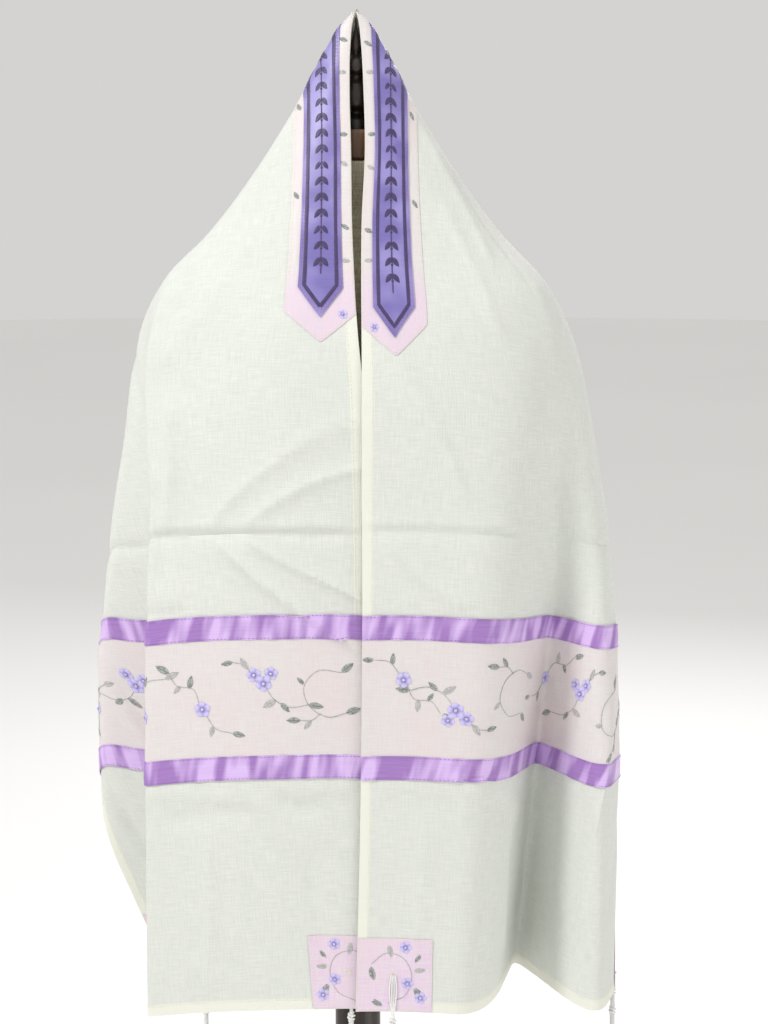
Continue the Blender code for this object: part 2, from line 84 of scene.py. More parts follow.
# Fold lines from the left front edge round the back to the right front edge, in mm and degrees.
# crown: angle of the fold on the crown, from the front edge of its own side.
# end_u, end_v: where the fold leaves the flat cloth.
# round: share of the neighbouring panels that its curve takes. slack: percent of length lost in slouch.
# x, y: its place at the ring and the three sections below, x outward from the middle, y to the back.
FOLD_COLUMNS = ("name", "side", "crown", "end_u", "end_v", "round", "slack",
                "x_ring", "y_ring", "x_bust", "y_bust", "x_band", "y_band", "x_hem", "y_hem")
FOLDS = (
    ("left front edge", -1, 0, 915, 0, 0.30, 0, 3, -105, -6, -118, -18, -116, -36, -114),
    ("left chest", -1, 16, 915, 100, 0.45, 0, 83, -99, 84, -120, 78, -120, 65, -116),
    ("left pleat edge", -1, 35, 915, 228, 0.12, 0, 167, -51, 187, -88, 195, -100, 200, -102),
    ("left pleat valley", -1, 39, 915, 368, 0.45, 6, 174, -30, 152, -42, 116, -36, 52, -34),
    ("left far middle", -1, 42.5, 915, 500, 0.45, 10, 175, -12, 190, -16, 186, -10, 178, -4),
    ("left outer ridge", -1, 47, 735, 500, 0.45, 16.5, 175, 10, 228, 8, 256, 10, 256, 2),
    ("left back valley 1", -1, 54, 575, 500, 0.50, 12, 148, 36, 180, 50, 192, 62, 192, 62),
    ("left back ridge 1", -1, 61, 442, 500, 0.50, 7, 141, 78, 184, 114, 202, 134, 202, 134),
    ("left back valley 2", -1, 68, 330, 500, 0.50, 3, 100, 84, 106, 94, 112, 96, 112, 96),
    ("left back ridge 2", -1, 75, 220, 500, 0.50, 1, 76, 108, 98, 158, 104, 170, 104, 170),
    ("left back valley 3", -1, 82.5, 108, 500, 0.50, 0, 32, 104, 34, 108, 34, 108, 34, 108),
    ("back middle", 1, 90, 0, 500, 0.50, 0, 2, 118, 4, 160, 4, 168, 4, 168),
    ("right back valley 3", 1, 82, 116, 500, 0.50, 0, 38, 103, 44, 106, 46, 108, 46, 108),
    ("right back ridge 2", 1, 75, 214, 500, 0.50, 1, 76, 109, 92, 162, 96, 172, 96, 172),
    ("right back valley 2", 1, 68.5, 326, 500, 0.50, 3, 104, 80, 118, 90, 124, 92, 124, 92),
    ("right back ridge 1", 1, 62, 436, 500, 0.50, 5, 136, 82, 174, 120, 192, 140, 192, 140),
    ("right back valley 1", 1, 56, 560, 500, 0.50, 8, 148, 40, 178, 60, 188, 72, 188, 72),
    ("right corner line", 1, 50, 915, 502, 0.50, 12, 170, 18, 216, 22, 236, -6, 228, 6),
    ("right side", 1, 46, 915, 440, 0.50, 10, 173, 0, 228, -14, 243, -46, 246, -44),
    ("right side ridge", 1, 41, 915, 352, 0.45, 4, 172, -24, 216, -58, 219, -108, 216, -120),
    ("right valley", 1, 35, 915, 232, 0.13, 1, 162, -52, 178, -58, 166, -22, 146, 38),
    ("right panel ridge", 1, 26, 915, 118, 0.50, 0, 126, -83, 134, -121, 127, -124, 115, -122),
    ("right chest", 1, 13, 915, 58, 0.45, 0, 68, -103, 66, -124, 60, -124, 53, -121),
    ("right front edge", 1, 0, 915, 0, 0.30, 0, 4, -107, 6, -123, 4, -122, -3, -120),
)

# Creases pressed or worn into the cloth, on the flat cloth in mm, u negative on the left end.
# bow: how far the middle of the crease bends aside. depth: negative is a trough, positive a ridge.
CREASE_COLUMNS = ("name", "u_start", "v_start", "u_end", "v_end", "bow", "depth", "width")
CREASES = (
    ("left storage crease", -476, 0, -471, 205, 2, -2.0, 4),
    ("left storage lip", -468, 0, -463, 200, 2, 1.3, 6),
    ("left upper ray 1", -472, 106, -414, 0, 5, 1.9, 5),
    ("left upper ray 2", -470, 138, -370, 0, 6, 1.6, 6),
    ("left lower ray 1", -476, 106, -534, 0, -3, 2.8, 5),
    ("left lower ray 2", -475, 134, -582, 2, -5, 3.2, 5),
    ("left soft fold", -350, 156, -470, 174, 3, 2.8, 9),
    ("left short fold", -425, 186, -520, 176, 2, -1.8, 8),
    ("left shoulder fold", -190, 96, -330, 176, 8, 1.6, 14),
    ("left under band", -708, 212, -722, 96, 5, 1.3, 5),
    ("left crescent", -712, 88, -720, 46, -9, -1.4, 5),
    ("left ripple 1", -703, 18, -707, 92, 3, 1.2, 4),
    ("left ripple 2", -728, 104, -735, 196, -4, -1.2, 5),
    ("left ripple 3", -541, 150, -538, 206, 2, -1.0, 5),
    ("left hem swell 1", -735, 150, -900, 168, 4, 1.3, 13),
    ("left hem swell 2", -760, 60, -905, 48, -6, -1.2, 15),
    ("left far storage", -474, 300, -480, 500, 3, -1.6, 5),
    ("left far swell", -560, 420, -840, 396, 6, 2.0, 11),
    ("left far pinch", -700, 470, -850, 440, -5, -1.6, 8),
    ("right storage crease", 472, 0, 470, 150, -2, -1.4, 4),
    ("right storage lip", 464, 0, 463, 150, -2, 0.9, 6),
    ("right side storage", 474, 180, 480, 480, 5, -1.5, 5),
    ("right chest ray 1", 300, 20, 458, 96, 5, 1.3, 6),
    ("right chest ray 2", 478, 20, 540, 96, -5, 1.6, 6),
    ("right slope fold 1", 104, 68, 232, 132, 7, 1.5, 5),
    ("right slope fold 2", 128, 92, 262, 176, 6, -1.6, 6),
    ("right slope fold 3", 172, 86, 300, 128, 5, 1.2, 8),
    ("right crescent", 698, 88, 702, 130, 8, -1.5, 5),
    ("right under band", 706, 128, 742, 176, 5, 1.4, 7),
    ("right ripple 1", 704, 14, 709, 84, 3, 1.1, 4),
    ("right ripple 2", 722, 96, 716, 150, -3, -1.1, 5),
    ("right hem swell 1", 730, 62, 900, 44, 6, 1.1, 14),
    ("right hem swell 2", 724, 158, 880, 168, -6, 1.3, 9),
    ("right side swell", 520, 300, 860, 312, 8, 1.9, 13),
    ("right side pinch", 690, 400, 840, 372, -6, -1.5, 8),
    ("back length crease left", -420, 252, -40, 250, 4, -1.4, 5),
    ("back length crease right", 40, 250, 420, 253, -4, -1.4, 5),
    ("back left ray", -262, 246, -120, 372, 6, 1.3, 7),
    ("back right ray", 232, 246, 150, 400, 6, 1.2, 7),
    ("back left swell", -60, 300, -96, 490, 5, 1.5, 12),
    ("back right swell", 92, 280, 70, 480, -5, 1.4, 12),
    ("back left slouch", -380, 330, -300, 470, 9, -1.7, 9),
    ("back right slouch", 352, 320, 300, 460, -9, -1.7, 9),
)

# All creases are drawn this much deeper than their table values
CREASE_DEPTH = 2.1

# How far the two front edges stand from their plain fold lines, in mm: the neckband holds them apart near
# the top, and the right edge laps over the left from the chest down.
EDGE_COLUMNS = ("from_apex", "left_x", "left_y", "right_x", "right_y")
EDGE_SHIFTS = (
    (0, 0, 0, 0, 0), (12, -3.0, 0, 2.4, 0), (30, -4.4, 0, 4.0, 0), (80, -4.6, 0, 6.0, 0),
    (125, -3.0, 0, 6.6, 0), (200, -1.0, 0, 2.8, 0), (255, 2.0, 0.2, 1.8, 0), (300, 5.4, 0.6, 1.5, 0),
    (335, 8.4, 1.0, 1.2, 0), (430, 7.0, 1.0, 0, 0), (520, 2.6, 0.6, 0, 0), (600, 0, 0, 0, 0),
    (1100, 0, 0, 0, 0),
)
EDGE_FADE = 34 * MM

# Thickness and lift of each layer above the middle of the cloth
CLOTH = 0.9 * MM
ORGANZA = 0.4 * MM
RIBBON = 0.5 * MM
BAND = 0.7 * MM
ORGANZA_LIFT = 0.95 * MM
RIBBON_LIFT = 1.35 * MM
BAND_LIFT = 2.0 * MM
HEM_WIDTH = 11 * MM
HEM_RISE = 0.35 * MM

# Dress form: height, half width and half depth of each ring, in mm
FORM_RINGS = (
    (872, 82, 58), (900, 102, 74), (960, 110, 78), (1060, 108, 74), (1160, 128, 84), (1255, 153, 92),
    (1318, 168, 86), (1352, 161, 78), (1378, 139, 69), (1404, 98, 57), (1428, 58, 45), (1446, 46, 40),
    (1468, 45, 38),
)
# Turned finial: height below the apex and radius, in mm, from its foot up
FINIAL_PROFILE = (
    (104.2, 21), (97, 20), (90, 12), (84, 18), (75, 19), (66, 15), (59, 9), (52, 14), (44, 12),
    (38, 4.5), (33, 6.5), (27, 5.0), (20, 2.2), (6.6, 0.6),
)
# Turned base: radius and height, in mm
BASE_PROFILE = ((185, 0), (185, 16), (178, 22), (110, 30), (45, 36), (30, 48))
BLOCK_RADIUS = 31
BLOCK_BOTTOM = 1468.5
BLOCK_TOP = 1495.5
POLE_RADIUS = 21.5
POLE_BOTTOM = 48.3
POLE_TOP = 871.5


def linear(code):
    """Linear colour of an sRGB hex value."""
    parts = [int(code[place:place + 2], 16) / 255 for place in (1, 3, 5)]
    return tuple(part / 12.92 if part <= 0.04045 else ((part + 0.055) / 1.055)**2.4 for part in parts)


def smooth_through(stations, values, query):
    """Cubic curve through values at the stations, with slopes from the neighbouring stretches."""
    stations, values = np.asarray(stations, float), np.asarray(values, float)
    steps = np.diff(stations)
    rises = np.diff(values) / steps
    slopes = np.empty_like(values)
    slopes[0], slopes[-1] = rises[0], rises[-1]
    slopes[1:-1] = (rises[:-1] * steps[1:] + rises[1:] * steps[:-1]) / (steps[1:] + steps[:-1])
    place = np.clip(np.searchsorted(stations, query, side="right") - 1, 0, len(steps) - 1)
    step = steps[place]
    t = (query - stations[place]) / step
    rise = (2 * t**3 - 3 * t**2 + 1) * values[place] + (3 * t**2 - 2 * t**3) * values[place + 1]
    return rise + step * ((t**3 - 2 * t**2 + t) * slopes[place] + (t**3 - t**2) * slopes[place + 1])


class FoldLine:
    """One fold line of the cloth: its flat path, and where it hangs, sampled by distance from the apex."""

    RADII = np.arange(0.0, 1.101, 0.004)

    def __init__(self, row):
        self.row = row = dict(zip(FOLD_COLUMNS, row))
        crown = math.radians(row["crown"])
        ring_u, ring_v = RING * math.cos(crown), RING * math.sin(crown)
        away_u, away_v = row["end_u"] * MM - ring_u, row["end_v"] * MM - ring_v
        length = math.hypot(away_u, away_v)
        away_u, away_v = away_u / length, away_v / length
        along = ring_u * away_u + ring_v * away_v
        beyond = np.maximum(self.RADII, RING)
        run = -along + np.sqrt(along**2 + beyond**2 - RING**2)
        angle = np.arctan2(ring_v + run * away_v, ring_u + run * away_u)
        angle = np.where(self.RADII > RING, angle, crown)
        self.angle = angle if row["side"] < 0 else math.pi - angle
        reach = np.where(self.RADII > RING, RING + run, self.RADII)
        columns = ("ring", "ring", "bust", "band", "hem")
        x_stations = np.array([SLOPE_X, 1, 1, 1, 1]) * [row["x_" + column] * MM for column in columns]
        y_stations = np.array([SLOPE_Y, 1, 1, 1, 1]) * [row["y_" + column] * MM for column in columns]
        x = smooth_through(SECTIONS, np.append(0, x_stations), self.RADII)
        y = smooth_through(SECTIONS, np.append(0, y_stations), self.RADII)
        middle = 0.5 * (self.RADII[1:] + self.RADII[:-1])
        cloth = np.diff(reach) * (1 - 0.01 * row["slack"] * (middle > RING))
        sideways = np.hypot(np.diff(x), np.diff(y))
        drop = np.sqrt(np.maximum(cloth**2 - sideways**2, (0.25 * cloth)**2))
        z = APEX_HEIGHT - np.concatenate(([0.0], np.cumsum(drop)))
        self.places = np.stack([row["side"] * x, y, z], axis=-1)

    def at(self, radius):
        place = [np.interp(radius, self.RADII, self.places[:, axis]) for axis in range(3)]
        return np.interp(radius, self.RADII, self.angle), np.stack(place, axis=-1)


FOLD_LINES = [FoldLine(row) for row in FOLDS]


def drape(u, v):
    """Places of the flat points (u, v) on the hanging cloth, before its creases."""
    u, v = np.broadcast_arrays(np.asarray(u, float), np.asarray(v, float))
    shape = u.shape
    u, v = u.ravel(), v.ravel()
    radius = np.hypot(u, v)
    query = np.arctan2(v, -u)
    crossings = [line.at(radius) for line in FOLD_LINES]
    angles = np.stack([angle for angle, _ in crossings])
    corners = np.stack([place for _, place in crossings])
    rounds = np.array([line.row["round"] for line in FOLD_LINES])
    count = len(FOLD_LINES)
    pick = np.arange(len(u))
    stretch = np.clip((angles <= query + 1e-9).sum(axis=0) - 1, 0, count - 2)
    start, end = angles[stretch, pick], angles[stretch + 1, pick]
    share = np.clip((query - start) / np.maximum(end - start, 1e-9), 0, 1)[:, None]
    result = corners[stretch, pick] * (1 - share) + corners[stretch + 1, pick] * share
    for fold in range(1, count - 1):
        soft = rounds[fold]
        before, here, after = angles[fold - 1], angles[fold], angles[fold + 1]
        left, right = here - soft * (here - before), here + soft * (after - here)
        inside = (query > left) & (query < right)
        if not inside.any():
            continue
        a, b, c, q = left[inside], here[inside], right[inside], query[inside]
        corner = corners[fold][inside]
        first = corner + soft * (corners[fold - 1][inside] - corner)
        last = corner + soft * (corners[fold + 1][inside] - corner)
        bend, slope = a - 2 * b + c, b - a
        t = ((q - a) / (slope + np.sqrt(np.maximum(slope**2 + bend * (q - a), 0))))[:, None]
        result[inside] = (1 - t)**2 * first + 2 * t * (1 - t) * corner + t**2 * last
    result += front_edge_shift(u, v, radius)
    return result.reshape(shape + (3,))


def front_edge_shift(u, v, radius):
    """How far the cloth near the front edges is drawn aside, at flat points (u, v)."""
    table = np.array(EDGE_SHIFTS, float).T * MM
    moves = {key: smooth_through(table[0], column, radius) for key, column in zip(EDGE_COLUMNS, table)}
    fade = np.exp(-(v / EDGE_FADE)**2)
    x = np.where(u < 0, moves["left_x"], moves["right_x"]) * fade
    y = np.where(u < 0, moves["left_y"], moves["right_y"]) * fade
    return np.stack([x, y, np.zeros_like(x)], axis=-1)


def smoothstep(value):
    """Soft step from 0 to 1."""
    value = np.clip(value, 0, 1)
    return value * value * (3 - 2 * value)


def relief(u, v):
    """Height of the creases and the turned hem above the plain drape."""
    height = np.zeros(np.broadcast(u, v).shape)
    for row in CREASES:
        crease = dict(zip(CREASE_COLUMNS, row))
        start = np.array([crease["u_start"], crease["v_start"]]) * MM
        away = np.array([crease["u_end"], crease["v_end"]]) * MM - start
        length = math.hypot(*away)
        away = away / length
        share = ((u - start[0]) * away[0] + (v - start[1]) * away[1]) / length
        aside = (v - start[1]) * away[0] - (u - start[0]) * away[1]
        aside = aside - crease["bow"] * MM * 4 * share * (1 - share)
        fade = smoothstep((share + 0.06) / 0.22) * smoothstep((1.06 - share) / 0.22)
        profile = np.exp(-np.abs(aside) / (crease["width"] * MM))
        height = height + CREASE_DEPTH * crease["depth"] * MM * fade * profile
    edge = np.minimum(np.minimum(v, WIDTH - v), HALF_LENGTH - np.abs(u))
    shoulder = smoothstep((np.hypot(u, v) - 0.03) / 0.05)
    return height * shoulder + HEM_RISE * smoothstep((HEM_WIDTH - edge) / (1.2 * MM))


def cloth_frame(u, v):
    """Places and outward normals of flat points on the creased cloth."""
    u, v = np.broadcast_arrays(np.asarray(u, float), np.asarray(v, float))
    step = np.minimum(NORMAL_STEP, 0.5 * np.hypot(u, v) + 0.1 * MM)
    low, high = np.maximum(v - step, 0), np.minimum(v + step, WIDTH)
    along = (drape(u + step, v) - drape(u - step, v)) / (2 * step)[..., None]
    across = (drape(u, high) - drape(u, low)) / (high - low)[..., None]
    normal = np.cross(along, across)
    normal = normal / np.linalg.norm(normal, axis=-1, keepdims=True)
    slope_u = (relief(u + step, v) - relief(u - step, v)) / (2 * step)
    slope_v = (relief(u, high) - relief(u, low)) / (high - low)
    places = drape(u, v) + normal * relief(u, v)[..., None]
    for slope, tangent in ((slope_u, along), (slope_v, across)):
        normal = normal - (slope / (tangent**2).sum(axis=-1))[..., None] * tangent
    normal = normal / np.linalg.norm(normal, axis=-1, keepdims=True)
    normal[np.hypot(u, v) < MM] = TIP_MITRE
    return places, normal


def evenly(start, stop, step):
    """Values from start to stop, about a step apart."""
    count = max(1, round(abs(stop - start) / step))
    return np.linspace(start, stop, count + 1)


def reaches(path):
    """Distance of each point of a path from its start."""
    return np.concatenate(([0], np.cumsum(np.linalg.norm(np.diff(path, axis=0), axis=1))))


def smooth_path(stops, step):
    """Curve through stops, in points a step apart."""
    stops = np.array(stops, float)
    reach = reaches(stops)
    query = evenly(0, reach[-1], step)
    return np.stack([smooth_through(reach, column, query) for column in stops.T], axis=-1)


def end_grid(side, distances, across):
    """Flat grid over part of one end of the cloth, wound so that its faces look outward on both ends."""
    return np.meshgrid(np.sort(side * distances), across, indexing="ij")


def down(distance):
    """Step straight down."""
    return np.array([0, 0, -distance])


# Objects

def select_only(obj):
    """Make one object the selected and the active one."""
    bpy.ops.object.select_all(action="DESELECT")
    obj.select_set(True)
    bpy.context.view_layer.objects.active = obj


def mesh_object(name, points, faces, material, uv=None):
    """Object from points and faces, with one UV place for each point."""
    mesh = bpy.data.meshes.new(name)
    mesh.from_pydata(np.asarray(points).tolist(), [], faces)
    mesh.materials.append(material)
    if uv is not None:
        layer = mesh.uv_layers.new(name="FlatCloth")
        corners = np.empty(len(mesh.loops), np.int32)
        mesh.loops.foreach_get("vertex_index", corners)
        layer.data.foreach_set("uv", np.asarray(uv, np.float32)[corners].ravel())
    obj = bpy.data.objects.new(name, mesh)
    bpy.context.scene.collection.objects.link(obj)
    select_only(obj)
    bpy.ops.object.shade_smooth_by_angle(angle=math.radians(50))
    return obj


def finished(obj, slot, *nodes):
    """Every piece rides on the one body and may stand for nodes, which it hides; slot is not used."""
    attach(obj, BODY)
    if nodes:
        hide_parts(*nodes)
    return obj


def thicken(obj, thickness):
    """Give a sheet its thickness, half to each side."""
    select_only(obj)
    modifier = obj.modifiers.new("Thickness", "SOLIDIFY")
    modifier.thickness = thickness
    modifier.offset = 0
    bpy.ops.object.modifier_apply(modifier=modifier.name)
    bpy.ops.object.shade_smooth_by_angle(angle=math.radians(50))
    return obj


def sheet_object(name, flat_u, flat_v, lift, thickness, material):
    """Sheet over a grid of flat points, lifted off the middle of the cloth."""
    places, normals = cloth_frame(flat_u, flat_v)
    points = places + normals * np.broadcast_to(lift, flat_u.shape)[..., None]
    rows, columns = flat_u.shape
    index = np.arange(rows * columns).reshape(rows, columns)
    corners = (index[:-1, :-1], index[1:, :-1], index[1:, 1:], index[:-1, 1:])
    faces = np.stack(corners, axis=-1).reshape(-1, 4).tolist()
    uv = np.stack([flat_u, flat_v], axis=-1).reshape(-1, 2)
    obj = mesh_object(name, points.reshape(-1, 3), faces, material, uv)
    return thicken(obj, thickness)


class Bundle:
    """Points and faces of many small shapes, gathered into one mesh."""

    def __init__(self):
        self.points, self.shares, self.faces, self.count = [], [], [], 0

    def add(self, points, faces):
        self.points.append(np.asarray(points, float))
        self.faces += [[self.count + corner for corner in face] for face in faces]
        self.count += len(points)

    def object(self, name, material, slot):
        shares = np.concatenate(self.shares) if self.shares else None
        return finished(mesh_object(name, np.concatenate(self.points), self.faces, material, shares), slot)


def tube(bundle, path, radii, sides):
    """Closed round tube along a path."""
    path = np.asarray(path, float)
    radii = np.broadcast_to(radii, len(path))
    ahead = np.gradient(path, axis=0)
    ahead = ahead / np.linalg.norm(ahead, axis=1, keepdims=True)
    first = np.cross(ahead[0], (0.3, 1.0, 0.2))
    turns = np.arange(sides) * math.tau / sides
    points = []
    for place, direction, radius in zip(path, ahead, radii):
        first = first - direction * np.dot(first, direction)
        first = first / np.linalg.norm(first)
        second = np.cross(direction, first)
        points.append(place + radius * (np.cos(turns)[:, None] * first + np.sin(turns)[:, None] * second))
    end = (len(path) - 1) * sides
    faces = [[ring + side, ring + (side + 1) % sides, ring + sides + (side + 1) % sides, ring + sides + side]
             for ring in range(0, end, sides) for side in range(sides)]
    faces += [range(sides - 1, -1, -1), range(end, end + sides)]
    bundle.add(np.concatenate(points), faces)


def template(add, shape):
    """Points and faces of one small shape, modelled once from a primitive and then copied."""
    add()
    obj = bpy.context.object
    bpy.ops.object.transform_apply(location=True, rotation=True, scale=True)
    points = shape(np.array([tuple(vertex.co) for vertex in obj.data.vertices]))
    faces = [list(face.vertices) for face in obj.data.polygons]
    bpy.data.objects.remove(obj, do_unlink=True)
    return points, faces


def leaf_shape(points):
    """Pointed leaf, one long, raised at the middle of each half, with a groove for its midrib."""
    x, y = points[:, 0] + 0.5, points[:, 1] * 2
    half = 0.5 * np.sin(math.pi * x**0.85)**0.8
    height = (1 - y**2) * np.sin(math.pi * np.clip(x, 0, 1)) - 0.5 * np.exp(-(y / 0.22)**2)
    return np.stack([x, y * half, height], axis=-1)


def petal_shape(points):
    """Round petal, one long, notched at its tip and cupped towards its foot."""
    x, y = points[:, 0] + 0.5, points[:, 1] * 2
    half = 0.52 * np.sin(math.pi * (0.12 + 0.80 * x))
    notch = 1 - 0.10 * np.exp(-(y / 0.35)**2) * x
    return np.stack([x * notch, y * half, x * (1.3 - x) * (1.2 - 0.8 * y**2)], axis=-1)


def make_templates():
    """Leaf, petal, bead and stitch, each about one long."""
    grid = bpy.ops.mesh.primitive_grid_add
    sphere = bpy.ops.mesh.primitive_uv_sphere_add
    return {
        "leaf": template(lambda: grid(x_subdivisions=9, y_subdivisions=6, size=1), leaf_shape),
        "petal": template(lambda: grid(x_subdivisions=5, y_subdivisions=5, size=1), petal_shape),
        "bead": template(lambda: sphere(segments=8, ring_count=6, radius=0.5), lambda points: points),
        "stitch": template(lambda: sphere(segments=5, ring_count=4, radius=0.5),
                           lambda points: points[:, [2, 0, 1]]),
    }


# Where a vine's thread takes its colour from, on the leaf's own coordinates
VINE_SHARE = (0.5, 0.24)


class Needlework(Bundle):
    """Small shapes laid on the cloth: each is placed in flat coordinates and bent onto it at the end."""

    def __init__(self, templates):
        super().__init__()
        self.templates, self.tubes = templates, []

    def lay(self, kind, u, v, turn, length, width, height, lift):
        """One template at (u, v), turned from the u axis, with its foot at that point."""
        points, faces = self.templates[kind]
        x, y = points[:, 0] * length, points[:, 1] * width
        cos, sin = math.cos(turn), math.sin(turn)
        flat = [u + x * cos - y * sin, v + x * sin + y * cos, lift + points[:, 2] * height]
        self.add(np.stack(flat, axis=-1), faces)
        self.shares.append(points[:, :2])

    def thread(self, flat_path, radius, lift):
        """One round thread along a flat path."""
        self.tubes.append((np.asarray(flat_path, float), radius, lift))

    def object(self, name, material, slot):
        bundle = Bundle()
        if self.points:
            flat = np.concatenate(self.points)
            u = np.clip(flat[:, 0], -HALF_LENGTH, HALF_LENGTH)
            places, normals = cloth_frame(u, np.clip(flat[:, 1], 0, WIDTH))
            bundle.add(places + normals * flat[:, 2:], self.faces)
            bundle.shares.append(np.concatenate(self.shares))
        for path, radius, lift in self.tubes:
            places, normals = cloth_frame(path[:, 0], path[:, 1])
            tube(bundle, places + normals * lift, radius, 5)
            bundle.shares.append(np.tile(VINE_SHARE, (len(bundle.points[-1]), 1)))
        return bundle.object(name, material, slot)


# Materials

# The bands of a wave texture repeat at this distance divided by its scale
WAVE_PITCH = 0.314


def add_node(tree, kind, inputs=(), output=0, **settings):
    """Add a node with its settings, give its inputs values or links (in order or by key), return an output."""
    node = tree.nodes.new("ShaderNode" + kind)
    for key, value in settings.items():
        setattr(node, key, value)
    for key, value in (inputs if isinstance(inputs, dict) else dict(enumerate(inputs))).items():
        if isinstance(value, bpy.types.NodeSocket):
            tree.links.new(value, node.inputs[key])
        else:
            node.inputs[key].default_value = value
    return node.outputs[output]


def new_material(name, roughness, **sockets):
    """Material with a Principled shader whose uniform values stand on its own sockets."""
    material = bpy.data.materials.new(name)
    material.use_nodes = True
    shader = material.node_tree.nodes["Principled BSDF"]
    shader.inputs["Roughness"].default_value = roughness
    for key, value in sockets.items():
        shader.inputs[key.replace("_", " ")].default_value = value
    return material, material.node_tree


def surface(material, ground, layers, height=None, strength=0.0, distance=0.0):
    """Lay colours over the ground, each by its share, and raise the surface by a height."""
    tree = material.node_tree
    shader = tree.nodes["Principled BSDF"]
    tone = (*ground, 1)
    for share, colour in layers:
        tone = add_node(tree, "Mix", {0: share, 6: tone, 7: (*colour, 1)}, 2, data_type="RGBA")
    tree.links.new(tone, shader.inputs["Base Color"])
    if height is not None:
        raised = add_node(tree, "Bump", {"Height": height, "Strength": strength, "Distance": distance})
        tree.links.new(raised, shader.inputs["Normal"])
    return material


def soft_marks(tree, place, scale, detail=3.0, roughness=0.5, slant=0.0):
    """Uneven marks, so many a metre along each axis, turned by a slant in radians."""
    if slant:
        place = add_node(tree, "Mapping", {"Vector": place, "Rotation": (0, 0, slant)})
    stretched = add_node(tree, "Mapping", {"Vector": place, "Scale": scale})
    inputs = {"Vector": stretched, "Scale": 1.0, "Detail": detail, "Roughness": roughness}
    return add_node(tree, "TexNoise", inputs, "Fac")


def weave(tree, place, spacing):
    """Plain weave: warp and weft of one spacing, with uneven threads that swell and thin along their run."""
    warp, weft = (add_node(tree, "TexWave", (place, WAVE_PITCH / spacing, 0.0), "Fac", bands_direction=axis)
                  for axis in "XY")
    marks = soft_marks(tree, place, (950, 55, 1)), soft_marks(tree, place, (55, 950, 1))
    slubs = add_node(tree, "Math", marks, operation="ADD")
    threads = add_node(tree, "Math", (warp, weft), operation="ADD")
    return add_node(tree, "Math", (slubs, 1.6, threads), operation="MULTIPLY_ADD"), slubs


def ivory_cloth(colours):
    """Fine viscose and wool cloth, plain woven: matt, with a grid of slubby threads and a faint bloom.

    Real threads are 0.4 mm apart and too fine to show, so they are drawn 1.3 mm apart.
    """
    material, tree = new_material("Plain woven ivory viscose", 0.82, Sheen_Weight=0.22, Sheen_Roughness=0.4)
    flat = add_node(tree, "UVMap", uv_map="FlatCloth")
    height, slubs = weave(tree, flat, 1.3 * MM)
    u, v, _ = add_node(tree, "SeparateXYZ", (flat,), slice(3))
    from_middle = add_node(tree, "Math", (u,), operation="ABSOLUTE")
    from_end = add_node(tree, "Math", (HALF_LENGTH, from_middle), operation="SUBTRACT")
    from_far_side = add_node(tree, "Math", (WIDTH, v), operation="SUBTRACT")
    from_side = add_node(tree, "Math", (v, from_far_side), operation="MINIMUM")
    edge = add_node(tree, "Math", (from_end, from_side), operation="MINIMUM")
    threads = add_node(tree, "MapRange", (slubs, 0.75, 1.25, 0, 1))
    clouds = add_node(tree, "MapRange", (soft_marks(tree, flat, (7, 9, 1)), 0.35, 0.75, 0, 0.30))
    hem = add_node(tree, "MapRange", (edge, HEM_WIDTH, HEM_WIDTH - 0.8 * MM, 0, 0.75))
    layers = ((threads, colours.cloth), (clouds, colours.cloth_shade), (hem, colours.hem))
    return surface(material, colours.cloth_shade, layers, height, 0.35, 0.25 * MM)


def organza(name, colours, ground, pink_from=None):
    """Sheer silk organza on the ivory cloth: crisp open weave, smoother and glossier than the cloth under it.

    Real threads are 0.3 mm apart and too fine to show, so they are drawn 1.1 mm apart.
    """
    material, tree = new_material(name, 0.5, Sheen_Weight=0.35, Sheen_Roughness=0.3)
    flat = add_node(tree, "UVMap", uv_map="FlatCloth")
    height, slubs = weave(tree, flat, 1.1 * MM)
    threads = add_node(tree, "MapRange", (slubs, 0.75, 1.25, 0, 0.6))
    clouds = add_node(tree, "MapRange", (soft_marks(tree, flat, (10, 13, 1)), 0.45, 0.75, 0, 0.45))
    layers = [(threads, colours.cloth), (clouds, colours.blush)]
    if pink_from is not None:
        from_middle = add_node(tree, "Math", (add_node(tree, "SeparateXYZ", (flat,)),), operation="ABSOLUTE")
        pink = add_node(tree, "MapRange", (from_middle, pink_from, pink_from + 0.03, 0, 0.5))
        layers.append((pink, colours.patch))
    return surface(material, ground, layers, height, 0.25, 0.2 * MM)


def satin(name, light, dark, roughness, patches):
    """Polyester satin: glossy floats along its length, with painted highlight patches and a faint painted sheen
    along its streaks in its colour.

    Real floats are 0.15 mm wide and too fine to show, so their ribs are drawn 0.9 mm apart.
    """
    material, tree = new_material(name, roughness, Sheen_Weight=0.25, Sheen_Roughness=0.25)
    flat = add_node(tree, "UVMap", uv_map="FlatCloth")
    ribs = add_node(tree, "TexWave", (flat, WAVE_PITCH / (0.9 * MM), 0.0), "Fac")
    streaks = soft_marks(tree, flat, (900, 30, 1), 2.0)
    # Painted highlights: slanted random patches of the light colour over the dark ground stand in for
    # reflections off the puckered satin, and the streaks add a faint painted sheen.
    marks = soft_marks(tree, flat, patches, 1.5, slant=0.22)
    painted_glints = add_node(tree, "MapRange", (marks, 0.40, 0.60, 0, 0.85))
    bright = add_node(tree, "MapRange", (streaks, 0.3, 0.7, 0, 0.15))
    share = add_node(tree, "Math", (painted_glints, bright), operation="ADD")
    height = add_node(tree, "Math", (ribs, streaks), operation="ADD")
    return surface(material, dark, [(share, light)], height, 0.18, 0.12 * MM)


